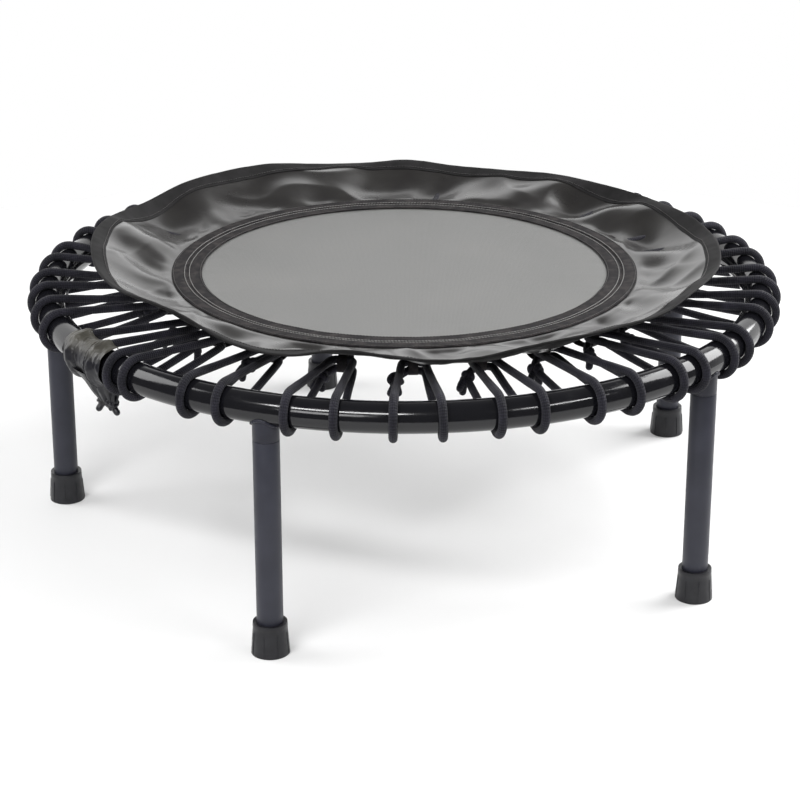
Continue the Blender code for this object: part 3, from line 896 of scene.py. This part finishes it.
# %% [markdown]
# ## Webbing
# Two bands of webbing are sewn round the mat's edge, side by side. The outer one covers the skirt's
# hem, so it sits a little higher. The stations draw both bands in one go: each is slightly crowned,
# with a groove where they meet. Four rows of real stitches hold them, one stitch modelled and copied
# along each row: light thread on both sides of the groove, and dark thread near the two edges.

# %% Webbing bands
CROWN = 0.00035
WEBBING_THICKNESS = 0.0009
bands = (
    (BAND_INNER_RADIUS + 0.0002, 0.0010), (BAND_INNER_RADIUS + 0.0012, 0.0015),
    (0.2790, 0.0016 + CROWN), (0.2860, 0.0016 + CROWN), (0.2912, 0.0015), (0.2924, 0.0010),
    (0.2932, 0.0008), (0.2940, 0.0012), (0.2952, 0.0021), (0.2975, 0.0026),
    (0.3030, 0.0026 + CROWN), (0.3085, 0.0027 + CROWN), (0.3122, 0.0026), (BAND_OUTER_RADIUS, 0.0020),
)


def webbing_ripple(angle, radius):
    """How far the webbing rises and falls along its run."""
    return 0.00045 * ripple(angle, 60, 7.0 + 40 * radius)


edging = ring_sheet("edge_webbing", [(radius, WEBBING_BOTTOM + rise) for radius, rise in bands], 480)
for vert in edging.data.vertices:
    angle, radius = angle_of(vert.co), radius_at(vert.co)
    vert.co.z += webbing_ripple(angle, radius)
    wander = 1 + 0.0016 * ripple(angle, 34, 2.0 + 30 * radius)
    vert.co.x *= wander
    vert.co.y *= wander
face_up(edging)
ring_uv(edging, (BAND_INNER_RADIUS + BAND_OUTER_RADIUS) / 2)
apply_modifier(edging, "SOLIDIFY", thickness=WEBBING_THICKNESS, offset=-1.0)
dress(smooth(edging, 60), webbing.material)
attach(edging, "mat")
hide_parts("mat_webbing")
print(size_of(edging))

# %% Stitches
THREAD_RADIUS = 0.00055
STITCH_LENGTH = 0.0034
STITCH_SPACING = 0.0042
start()
bpy.ops.mesh.primitive_cylinder_add(
    vertices=6, radius=THREAD_RADIUS, depth=STITCH_LENGTH, rotation=(0, math.pi / 2, 0)
)
stitch = settle(named("stitch"))
edit(stitch)
pick(stitch, lambda face: abs(face.normal.x) > 0.9)
bpy.ops.mesh.bevel(offset=0.00025, segments=1)
smooth(stitch, 60)


def sewn(name, places, material):
    """One piece made of a copy of the stitch at each place, a matrix whose X runs along the seam."""
    row = bmesh.new()
    for place in places:
        single = stitch.data.copy()
        single.transform(place)
        row.from_mesh(single)
        bpy.data.meshes.remove(single)
    return dress(object_from(row, name), material)


def place_along(angle, point):
    return Matrix.Translation(point) @ Matrix.Rotation(math.radians(angle + 90), 4, "Z")


rows = (
    ("middle_stitches", thread, ((0.2898, 0.00205), (0.2962, 0.00285))),
    ("edge_stitches", dark_thread, ((0.2752, 0.00195), (0.3112, 0.00305))),
)
for name, finish, pair in rows:
    places = []
    for radius, rise in pair:
        count = round(2 * math.pi * radius / STITCH_SPACING)
        for number in range(count):
            angle = number * 360 / count
            waver = 0.00025 * ripple(angle, 200, 40 * radius)
            height = WEBBING_BOTTOM + rise + webbing_ripple(angle, radius)
            places.append(place_along(angle, around(angle, radius + waver, height)))
    made = sewn(name, places, finish.material)
    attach(made, "mat")
    print(len(places), "stitches in two rows:", name)

# %% [markdown]
# ## Cord webbing and its eyes
# Under the mat's edge runs a third band, and a folded strap stands out of it for each cord. A strap
# is a rounded loop seen from the side: a circle whose points are moved onto a rounded rectangle, then
# extruded sideways to the strap's width and thickened.

# %% Where the cords are
CORDS_PER_LEG = 5
LACING_SHIFT = (
    (-1.0, 0.4, -0.3, 0.2, 0.5),
    (0.3, -0.4, 0.2, 0.5, -0.2),
    (-0.2, 0.3, 0.1, -0.4, 0.3),
    (0.2, -0.6, 2.6, -3.2, -2.1),
    (0.0, 0.5, 0.6, 1.1, 0.7),
)
LACING_WIDEN = (
    (-0.6, 0.1, -0.2, 0.2, 0.0),
    (0.1, -0.1, 0.2, 0.0, 0.1),
    (0.0, 0.2, -0.2, 0.1, -0.1),
    (0.0, 0.1, -0.4, -1.5, -0.3),
    (0.25, 0.2, -0.15, 0.1, -0.7),
)
PASS_HEIGHT = EYE_BAND_TOP - EYE_BAND_THICKNESS - CORD_RADIUS - GAP
PITCH = 360 / len(LEG_ANGLES) / CORDS_PER_LEG
cord_places = []
for leg_number, leg_angle in enumerate(LEG_ANGLES):
    for place in range(CORDS_PER_LEG):
        angle = leg_angle + (place + 0.5) * PITCH + LACING_SHIFT[leg_number][place]
        cord_places.append((angle, CORD_SPREAD + LACING_WIDEN[leg_number][place]))
print(len(cord_places), "cords, each", CORD_RADIUS * 2000, "mm thick")

# %% Cord webbing
EYE_WIDTH = 0.0120
EYE_STRAP_THICKNESS = 0.0016
EYE_STRIPS = 4
under = EYE_BAND_TOP - EYE_BAND_THICKNESS / 2
eye_band = ring_sheet("eye_band", [(0.2850, under), (0.2990, under - 0.0002), (MAT_RADIUS, under)], 240)
face_up(eye_band)
ring_uv(eye_band, 0.300)
apply_modifier(eye_band, "SOLIDIFY", thickness=EYE_BAND_THICKNESS * 0.8, offset=0.0)
start()
bpy.ops.mesh.primitive_circle_add(vertices=40, radius=1.0, fill_type="NOTHING")
eye = named("eye")
eye_inner, eye_outer = 0.3030, 0.3405
eye_low, eye_high = PASS_HEIGHT - PASS_DROP - CORD_RADIUS - 0.0014, EYE_BAND_TOP - 0.0012
for vert in eye.data.vertices:
    turn = math.atan2(vert.co.y, vert.co.x)
    square = (abs(math.cos(turn)) ** 3 + abs(math.sin(turn)) ** 3) ** (-1 / 3)
    vert.co = (
        (eye_inner + eye_outer) / 2 + square * math.cos(turn) * (eye_outer - eye_inner) / 2,
        -EYE_WIDTH / 2,
        (eye_low + eye_high) / 2 + square * math.sin(turn) * (eye_high - eye_low) / 2,
    )
edit(eye, "EDGE", "SELECT")
for _ in range(EYE_STRIPS):
    bpy.ops.mesh.extrude_edges_move(TRANSFORM_OT_translate={"value": (0, EYE_WIDTH / EYE_STRIPS, 0)})
start()
eye_uv = eye.data.uv_layers.new(name="UVMap")
for loop in eye.data.loops:
    point = eye.data.vertices[loop.vertex_index].co
    eye_uv.data[loop.index].uv = (point.x + point.z, point.y)
tidy_normals(eye)
apply_modifier(eye, "SOLIDIFY", thickness=EYE_STRAP_THICKNESS, offset=0.0)
smooth(eye, 50)
eyes = [copy_of(eye, "eye_copy", math.radians(angle)) for angle, _ in cord_places]
bpy.data.objects.remove(eye, do_unlink=True)
eye_band = join(smooth(eye_band), *eyes)
dress(eye_band, webbing.material)
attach(eye_band, "mat")
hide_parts("cord_webbing")
print(size_of(eye_band))

# %% [markdown]
# ## Skirt
# The skirt is a wide strip of vinyl sewn into the webbing by its inner edge. Its outer edge is longer
# than it needs to be, so it rises and waves. The rim's rise is a short list of slopes, one every ten
# degrees, with a smooth curve through them. Noise adds the gathers that fan out of the seam, the soft
# folds across the strip, the sharp creases where it was once folded for packing, and a slow roll.

# %% How the skirt rises
RIM_SLOPES = (
    24.0, 24.0, 22.0, 21.5, 24.0, 22.5, 14.0, 12.5, 18.5, 14.5, 13.0, 17.0,
    19.0, 18.5, 16.5, 19.0, 19.0, 17.5, 17.5, 14.5, 14.5, 13.0, 12.5, 11.5,
    12.5, 11.0, 11.0, 15.0, 13.0, 15.0, 19.0, 19.0, 18.0, 15.0, 17.5, 21.0,
)
FLARE_RADIUS = BAND_OUTER_RADIUS + 0.0005
HEM_MIDDLE = WEBBING_BOTTOM + 0.0005
SKIRT_THICKNESS = 0.0009
GATHER_HEIGHT = 0.0036
FOLD_HEIGHT = 0.0190
CREASE_HEIGHT = 0.0130
ROLL_HEIGHT = 0.0050
SAG = 0.0040


def rim_slope(angle):
    """The skirt's slope in degrees, with a smooth curve through the list that starts at -180."""
    place = (angle + 180) / 360 * len(RIM_SLOPES)
    number, share = math.floor(place), place % 1.0
    before, here, there, after = (RIM_SLOPES[(number + step) % len(RIM_SLOPES)] for step in (-1, 0, 1, 2))
    bend = 2 * before - 5 * here + 4 * there - after
    sway = 3 * (here - there) + after - before
    return here + 0.5 * share * (there - before + share * (bend + share * sway))


def skirt_point(angle, share):
    """The middle of the vinyl from its seam (share 0) to its rim (share 1), or of its hem below 0."""
    if share <= 0:
        return around(angle, FLARE_RADIUS + share * HEM_WIDTH, HEM_MIDDLE)
    slope = math.radians(rim_slope(angle))
    out = FLARE_RADIUS + SKIRT_WIDTH * share * math.cos(slope)
    rise = SKIRT_WIDTH * share * math.sin(slope)
    free = min(1.0, share / 0.12)
    middle = math.sin(math.pi * min(1.0, share))
    gathers = GATHER_HEIGHT * math.exp(-3.0 * share) * ripple(angle + 5 * share, 80, 11.0 + 0.6 * share)
    folds = FOLD_HEIGHT * max(0.0, middle) ** 0.7 * ripple(angle + 8 * share, 30, 21.0 + 0.7 * share)
    packing_folds = abs(ripple(angle - 10 * share, 26, 41.0 + 1.2 * share))
    creases = CREASE_HEIGHT * max(0.0, middle) ** 0.5 * (0.16 - packing_folds)
    roll = ROLL_HEIGHT * share * ripple(angle, 13, 31.0 + 0.8 * share)
    sag = -SAG * middle
    return around(angle, out, HEM_MIDDLE + rise + free * (gathers + folds + creases + roll + sag))


def skirt_normal(angle, share):
    """The direction off the top of the vinyl."""
    along = skirt_point(angle + 0.4, share) - skirt_point(angle - 0.4, share)
    outwards = skirt_point(angle, share + 0.02) - skirt_point(angle, share - 0.02)
    return outwards.cross(along).normalized()


# %% Skirt
FLAT_WIDTH = 0.1
skirt_shares = [-1.0, -0.5, 0.0] + [((step + 1) / 30) ** 1.1 for step in range(30)]
flat_rings = [(FLARE_RADIUS + share * FLAT_WIDTH, HEM_MIDDLE) for share in skirt_shares]
skirt = ring_sheet("skirt_sheet", flat_rings, 720)
for vert in skirt.data.vertices:
    share = (radius_at(vert.co) - FLARE_RADIUS) / FLAT_WIDTH
    vert.co = skirt_point(angle_of(vert.co), share if abs(share) > 1e-5 else 0.0)
face_up(skirt)
apply_modifier(skirt, "SOLIDIFY", thickness=SKIRT_THICKNESS, offset=0.0)
dress(smooth(skirt, 60), vinyl.material)
highest = max(vert.co.z for vert in skirt.data.vertices)
print(size_of(skirt), "and it rises", round(1000 * highest), "mm off the floor")

# %% [markdown]
# The skirt crosses from the mat to the cords, which the frame holds, so it bends between the two
# when the mat goes down, and the cords stretch evenly from their eyes to the ring. Here the skirt,
# its rim tape and stitches and the cords only have their places moved into their meshes, and none
# of them is set to bend.

# %% Moving places into meshes
def bend_outwards(obj):
    """Moves the piece's place into its mesh."""
    start()
    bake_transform(obj)


bend_outwards(skirt)
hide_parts("skirt")

# %% [markdown]
# ## Rim tape
# A matte tape is folded over the skirt's outer edge and sewn through. It is the same kind of ring
# sheet, but each station says where it lies on the skirt and how far above or below the vinyl, so the
# tape follows every wave. One row of stitches runs near its inner edge.

# %% Rim tape
RIM_RADIUS = 0.42
TAPE_THICKNESS = 0.0006
FIRST_STATION = 0.30
STATION_STEP = 0.01
tape_start = 1.0 - TAPE_WIDTH / SKIRT_WIDTH
fold = (
    (tape_start, 0.0010), (tape_start + 0.02, 0.0014), (0.93, 0.0015), (0.985, 0.0015),
    (1.004, 0.0011), (1.010, 0.0), (1.004, -0.0011), (0.985, -0.0015), (0.93, -0.0015),
    (tape_start + 0.02, -0.0014), (tape_start, -0.0010),
)
stations = [(FIRST_STATION + STATION_STEP * number, 0.0) for number in range(len(fold))]
rim_tape = ring_sheet("rim_tape", stations, 720)
for vert in rim_tape.data.vertices:
    share, lift = fold[round((radius_at(vert.co) - FIRST_STATION) / STATION_STEP)]
    angle = angle_of(vert.co)
    share += 0.010 * ripple(angle, 70, 51.0) * (share < 0.9)
    lift *= 1 + 0.35 * ripple(angle, 160, 61.0)
    vert.co = skirt_point(angle, share) + skirt_normal(angle, share) * lift
ring_uv(rim_tape, RIM_RADIUS)
tidy_normals(rim_tape)
apply_modifier(rim_tape, "SOLIDIFY", thickness=TAPE_THICKNESS, offset=0.0)
dress(smooth(rim_tape, 70), tape.material)
bend_outwards(rim_tape)
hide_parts("skirt_binding")
print(size_of(rim_tape))

# %% Stitches on the tape
TAPE_STITCHES = 620
TAPE_STITCH_LIFT = 0.0021
places = []
seam_share = tape_start + 0.035
for number in range(TAPE_STITCHES):
    angle = number * 360 / TAPE_STITCHES
    up = skirt_normal(angle, seam_share)
    along = (skirt_point(angle + 0.2, seam_share) - skirt_point(angle - 0.2, seam_share)).normalized()
    across = up.cross(along)
    turn = Matrix((along, across, up)).transposed().to_4x4()
    point = skirt_point(angle, seam_share) + up * TAPE_STITCH_LIFT
    places.append(Matrix.Translation(point) @ turn)
tape_stitches = sewn("tape_stitches", places, dark_thread.material)
bend_outwards(tape_stitches)
print(TAPE_STITCHES, "stitches along the tape")
bpy.data.objects.remove(stitch, do_unlink=True)

# %% [markdown]
# ## Elastic cords
# Each cord is one loop of braided elastic. It goes through its eye, over the ring and back under it,
# through the eye again and once more round the ring, and its two ends meet in a knot below. The line
# is laid down: arcs round the tube, straight runs that sag a little, and the two passes
# through the eye. A round section swept along a smooth curve through those points is the cord. The
# knot is a trefoil, the simplest line that crosses itself as a real overhand knot does, with both
# ends sticking out of it.

# %% The line of one cord
TURN_RADIUS = 0.0054  # a cord bulges a little where it is bent tight round the tube
BULGE_START = 0.42
BULGE_REACH = 0.03
WRAP_TOP = 97.0
WRAP_BOTTOM = -107.0
WRAP_STEPS = 14
EYE_MOUTH_RADIUS = 0.3400
EYE_MOUTH_ASIDE = 0.0140
HALF_EYE = EYE_WIDTH / 2


def turn_round_ring(angle, lean):
    """The way over the ring's tube and back under it, leaning a little along the ring."""
    reach = TUBE_RADIUS + TURN_RADIUS + 0.0001
    points = []
    for step in range(WRAP_STEPS + 1):
        turn = math.radians(WRAP_TOP + (WRAP_BOTTOM - WRAP_TOP) * step / WRAP_STEPS)
        out, up = RING_RADIUS + reach * math.cos(turn), RING_HEIGHT + reach * math.sin(turn)
        points.append(around(angle + lean * (step / WRAP_STEPS - 0.5), out, up))
    return points


def strand(start_point, end_point, sag):
    """Two points on the run between an eye and the ring."""
    drop = Vector((0, 0, -sag))
    return [start_point.lerp(end_point, 0.33) + drop, start_point.lerp(end_point, 0.67) + drop]


def cord_line(angle, spread, seed):
    """The loop: eye, right turn, eye again, knot, left turn and back."""
    high, low = PASS_HEIGHT, PASS_HEIGHT - PASS_DROP
    chance = [noise.noise((seed * 3.7, step * 5.1, 0.5)) for step in range(8)]
    right = turn_round_ring(angle + spread, 0.5 * chance[0])
    left = turn_round_ring(angle - spread, 0.5 * chance[1])
    upper_right = beside(angle, EYE_MOUTH_RADIUS, EYE_MOUTH_ASIDE, high + 0.0003)
    upper_left = beside(angle, EYE_MOUTH_RADIUS, -EYE_MOUTH_ASIDE, high + 0.0003)
    lower_right = beside(angle, EYE_MOUTH_RADIUS, EYE_MOUTH_ASIDE, low - 0.0004)
    after_knot = beside(angle, 0.3620, -0.0228, low - 0.0103)
    line = [beside(angle, EYE_RADIUS, -HALF_EYE, high), beside(angle, EYE_RADIUS, HALF_EYE, high)]
    line += [upper_right] + strand(upper_right, right[0], 0.0004 + 0.0008 * chance[2]) + right
    line += strand(right[-1], lower_right, 0.0010 + 0.0012 * chance[3]) + [lower_right]
    line += [beside(angle, EYE_RADIUS, HALF_EYE, low), beside(angle, EYE_RADIUS, -HALF_EYE, low)]
    line += [beside(angle, EYE_RADIUS + 0.0055, -0.0160, low - 0.0040)]
    line += [knot_place(angle), after_knot]
    line += strand(after_knot, left[-1], 0.0008) + list(reversed(left))
    line += strand(left[0], upper_left, 0.0004 + 0.0008 * chance[4]) + [upper_left]
    return line


def knot_place(angle):
    """The knot sits under the eye, to one side."""
    return beside(angle, EYE_RADIUS + 0.0165, -0.0225, PASS_HEIGHT - PASS_DROP - 0.0070)


# %% Knots
KNOT_SCALE = 0.00220
KNOT_STEPS = 54
END_LENGTH = 0.0150


def knot_line(centre, seed):
    """A closed trefoil round the centre, turned its own way."""
    about_x, about_y, about_z = (
        Matrix.Rotation(noise.noise((seed * 2.3, step * 4.7, 9.5)) * 4.0, 3, axis)
        for step, axis in enumerate("XYZ")
    )
    turn = about_x @ about_y @ about_z
    points = []
    for step in range(KNOT_STEPS):
        t = 2 * math.pi * step / KNOT_STEPS
        across = math.sin(t) + 2 * math.sin(2 * t)
        up = math.cos(t) - 2 * math.cos(2 * t)
        points.append(centre + KNOT_SCALE * (turn @ Vector((across, up, -1.6 * math.sin(3 * t)))))
    return points


def tail_lines(centre, angle, seed):
    """The two ends that stick out of the knot, one down and one outwards."""
    chance = [noise.noise((seed * 1.9, step * 3.3, 4.5)) for step in range(6)]
    outwards, sideways = around(angle, 1.0, 0.0), beside(angle, 0.0, 1.0, 0.0)
    down = Vector((0, 0, -1))
    first = (down + 0.9 * chance[0] * sideways + (0.2 + 0.8 * chance[1]) * outwards).normalized()
    second = (0.75 * outwards + (0.9 * chance[2] - 0.7) * sideways + 0.55 * down).normalized()
    first_end = (first, END_LENGTH + 0.006 * chance[3], chance[4])
    second_end = (second, END_LENGTH + 0.0005, chance[5])
    lines = []
    for direction, length, bend in (first_end, second_end):
        middle = centre + direction * length * 0.55 + sideways * 0.004 * bend
        lines.append([centre + direction * 0.004, middle, centre + direction * length + down * 0.003])
    return lines


# %% Twenty-five cords
for number, (angle, spread) in enumerate(cord_places, start=1):
    line = curve_through(cord_line(angle, spread, number), closed=True, spacing=0.0036)
    thickness = []
    for point in line:
        bulge = min(1.0, max(0.0, (radius_at(point) - BULGE_START) / BULGE_REACH))
        thickness.append(CORD_RADIUS + (TURN_RADIUS - CORD_RADIUS) * bulge)
    cord = sweep(f"cord_{number:02d}", line, thickness, 14, closed=True)
    centre = knot_place(angle)
    knot = [sweep("knot", knot_line(centre, number), CORD_RADIUS * 0.92, 12, closed=True)]
    for tail in tail_lines(centre, angle, number):
        knot.append(sweep("knot_end", curve_through(tail, spacing=0.003), CORD_RADIUS * 0.93, 12))
    join(cord, *knot)
    dress(cord, elastic.material)
    bend_outwards(cord)
    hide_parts(f"elastic_cord_{number:02d}")
print("25 cords,", size_of(cord), "each")

# %% [markdown]
# ## Wrapped sleeve
# Over one cord's turns on the left, a dark plastic film is wound round the ring and knotted below. It
# is a grid bent round the tube. Its distance from the tube is larger over the cord's two turns and
# falls in between them. Each turn of the film laps over the one before, and noise adds soft creases.
# A second sheet, a narrowing tube of pleats, gathers the film under the ring into two knotted ends.

# %% Film round the ring
FILM_GAP = 0.0040
FILM_OVER_CORD = 0.0062
FILM_CREASE = 0.0026
FILM_LAP = 0.0016
FILM_THICKNESS = 0.0005
SLEEVE_MIDDLE = (SLEEVE_START + SLEEVE_END) / 2
covered = [angle - 360 if angle > 180 else angle for angle, _ in cord_places]
sleeve_cord = min(range(len(covered)), key=lambda number: abs(covered[number] - SLEEVE_MIDDLE))
sleeve_turns = [covered[sleeve_cord] + side * cord_places[sleeve_cord][1] for side in (-1, 1)]


def film_reach(angle, turn):
    """How far the film lies from the middle of the tube."""
    over_cord = max(math.exp(-(((angle - place) / 1.15) ** 2)) for place in sleeve_turns)
    wide_creases = abs(noise.noise((angle * 0.7, turn * 1.4, 3.0)))
    fine_creases = abs(noise.noise((angle * 1.8, turn * 3.0, 8.0)))
    creases = wide_creases + 0.4 * fine_creases
    slack = 0.0022 + 0.0012 * math.sin(2 * turn)
    lap = FILM_LAP * ((0.26 * (angle - SLEEVE_START) + turn / (2 * math.pi)) % 1.0)
    return TUBE_RADIUS + FILM_GAP + slack + FILM_OVER_CORD * over_cord - FILM_CREASE * creases + lap


start()
bpy.ops.mesh.primitive_grid_add(x_subdivisions=110, y_subdivisions=120, size=1.0)
film_wrap = named("film_wrap")
for vert in film_wrap.data.vertices:
    along, across = vert.co.x + 0.5, vert.co.y + 0.5
    angle = SLEEVE_START + along * (SLEEVE_END - SLEEVE_START)
    edge_wave = 4.0 * noise.noise((along * 5.0, round(across), 14.0))
    turn = math.radians((102.0 + edge_wave) * (1 - 2 * across))
    angle += 0.5 * noise.noise((turn * 1.2, round(along), 23.0)) * abs(2 * along - 1) ** 2
    reach = film_reach(angle, turn)
    vert.co = around(angle, RING_RADIUS + reach * math.cos(turn), RING_HEIGHT + reach * math.sin(turn))
tidy_normals(film_wrap)
apply_modifier(film_wrap, "SOLIDIFY", thickness=FILM_THICKNESS, offset=0.0)
dress(smooth(film_wrap, 70), film.material)
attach(film_wrap, "frame")
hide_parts("frame_sleeve")
print(size_of(film_wrap))

# %% Gathered ends
GATHER_ROWS = 34
GATHER_SIDES = 120
WIDE_LENGTH, WIDE_DEPTH = 0.0480, 0.0285
NARROW_LENGTH, NARROW_DEPTH = 0.0165, 0.0080
BUNCH_RADIUS = 0.0088
BAND_REACH = 0.0072
gather_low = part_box("sleeve_tie")[0].z + 0.0275
gather_high = RING_HEIGHT - 0.0100
start()
bpy.ops.mesh.primitive_cylinder_add(vertices=GATHER_SIDES, radius=1.0, depth=1.0, end_fill_type="NOTHING")
film_tie = named("film_tie")
edit(film_tie)
cut_across(*(row / GATHER_ROWS - 0.5 for row in range(1, GATHER_ROWS)))
start()
for vert in film_tie.data.vertices:
    down = 0.5 - vert.co.z
    turn = math.atan2(vert.co.y, vert.co.x)
    narrowing = down ** 0.8
    half_length = WIDE_LENGTH * (1 - narrowing) + NARROW_LENGTH * narrowing
    half_depth = WIDE_DEPTH * (1 - narrowing) + NARROW_DEPTH * narrowing
    even_pleats = 0.11 * down * math.sin(13 * turn + 3 * down)
    pleat = 1 + even_pleats + 0.16 * down * noise.noise((2.2 * turn, 2 * down, 5.0))
    middle = SLEEVE_MIDDLE + (TIE_ANGLE - SLEEVE_MIDDLE) * narrowing
    depth, length = half_depth * pleat * math.cos(turn), half_length * pleat * math.sin(turn)
    crumple = 0.0014 * noise.noise((5 * math.cos(turn), 5 * math.sin(turn), 4 * down))
    height = gather_high + (gather_low - gather_high) * down + crumple
    vert.co = beside(middle, RING_RADIUS + depth + crumple, length, height)
tidy_normals(film_tie)
apply_modifier(film_tie, "SOLIDIFY", thickness=0.0006, offset=0.0)
smooth(film_tie, 70)
ends = []
for side in (-1, 1):
    centre = beside(TIE_ANGLE, RING_RADIUS, side * 0.0095, gather_low - 0.0010)
    start()
    bpy.ops.mesh.primitive_ico_sphere_add(subdivisions=5, radius=BUNCH_RADIUS)
    bunch = named("bunch")
    for vert in bunch.data.vertices:
        point = vert.co * 260
        vert.co *= 1 + 0.30 * noise.noise((point.x, point.y, 0.5 * point.z + 7 * side)) - 0.1
        vert.co.z *= 1.15
        vert.co += centre
    ends.append(smooth(bunch, 70))
    band = []
    for step in range(30):
        t = 2 * math.pi * step / 30
        sway = 0.0016 * math.sin(2 * t + side) - 0.001
        band.append(centre + Vector((BAND_REACH * math.cos(t), BAND_REACH * math.sin(t), sway)))
    ends.append(sweep("band", band, 0.0021, 10, closed=True))
    end_line = [
        centre,
        centre + Vector((0.003 * side, -0.002, -0.007)),
        centre + Vector((0.006 * side, -0.004, -0.0115)),
    ]
    ends.append(sweep("end", curve_through(end_line, spacing=0.002), 0.0042, 12))
film_tie = join(film_tie, *ends)
dress(film_tie, film.material)
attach(film_tie, "frame")
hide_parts("sleeve_tie")
print(size_of(film_tie))

# %% [markdown]
# ## Floor and light
# A round white floor and a white room give a plain studio. Gloss black paint shows whatever it
# faces, so the room is bright behind and dim in front and above, where two narrow softboxes draw the
# lines of light along the ring. Two large softboxes at the sides light the mat, and keep out of the
# ring's reflections. A weak one in front fills the legs and the shaded side of the skirt.

# %% Floor
FLOOR_RADIUS = 1.6
FLOOR_GLOW = 0.16
start()
bpy.ops.mesh.primitive_circle_add(
    vertices=128, radius=FLOOR_RADIUS, fill_type="NGON", location=(0, 0, -0.0004)
)
floor = settle(named("floor"))
floor_finish = Finish("pale_floor", (0.66, 0.66, 0.66), 0.8, Specular_IOR_Level=0.2)
floor_finish.shader.inputs["Emission Color"].default_value = (1, 1, 1, 1)
floor_finish.shader.inputs["Emission Strength"].default_value = FLOOR_GLOW
dress(floor, floor_finish.material)

# %% Room
BACKDROP_LIGHT = 1.30
ROOM_LIGHT = 0.17
room = bpy.data.worlds.new("studio_room")
bpy.context.scene.world = room
sky = Nodes(room)
where = sky.node("ShaderNodeTexCoord").outputs["Generated"]
ahead = sky.node("ShaderNodeSeparateXYZ", {"Vector": where})
backdrop = sky.spread(ahead.outputs["Y"], 0.0, 0.55, 0.0, 1.0, "SMOOTHSTEP")
not_above = sky.spread(ahead.outputs["Z"], 0.48, 0.70, 1.0, 0.04, "SMOOTHSTEP")
glow = sky.maths("MULTIPLY", backdrop, not_above)
level = sky.maths("ADD", sky.maths("MULTIPLY", glow, BACKDROP_LIGHT), ROOM_LIGHT)
seen = sky.node("ShaderNodeLightPath").outputs["Is Camera Ray"]
mix = sky.node("ShaderNodeMix", {"Factor": seen, "A": level, "B": 1.0}, data_type="FLOAT")
background = sky.tree.nodes["Background"]
sky.tree.links.new(mix.outputs["Result"], background.inputs["Strength"])
background.inputs["Color"].default_value = (1, 1, 1, 1)


# %% Lights
def softbox(name, place, aim, width, height, watts):
    start()
    bpy.ops.object.light_add(type="AREA", location=place)
    light = bpy.context.object
    light.name = name
    light.data.shape = "RECTANGLE"
    light.data.size = width
    light.data.size_y = height
    light.data.energy = watts
    light.rotation_euler = (Vector(aim) - Vector(place)).to_track_quat("-Z", "Y").to_euler()
    return light


softbox("left_strip", (-0.75, -1.95, 2.05), (-0.1, -0.45, 0.32), 1.7, 0.28, 46)
softbox("right_strip", (1.75, -1.70, 1.75), (0.2, -0.40, 0.32), 1.1, 0.16, 16)
softbox("left_light", (-2.5, 0.3, 2.1), (0, 0, 0.3), 1.8, 1.6, 48)
softbox("right_light", (2.1, 0.7, 1.8), (0, 0, 0.3), 2.0, 1.7, 104)
softbox("front_fill", (-1.3, -3.1, 1.7), (0, 0, 0.2), 1.4, 0.7, 26)
bpy.context.scene.view_settings.view_transform = "Standard"
print("floor, room and five soft lights")
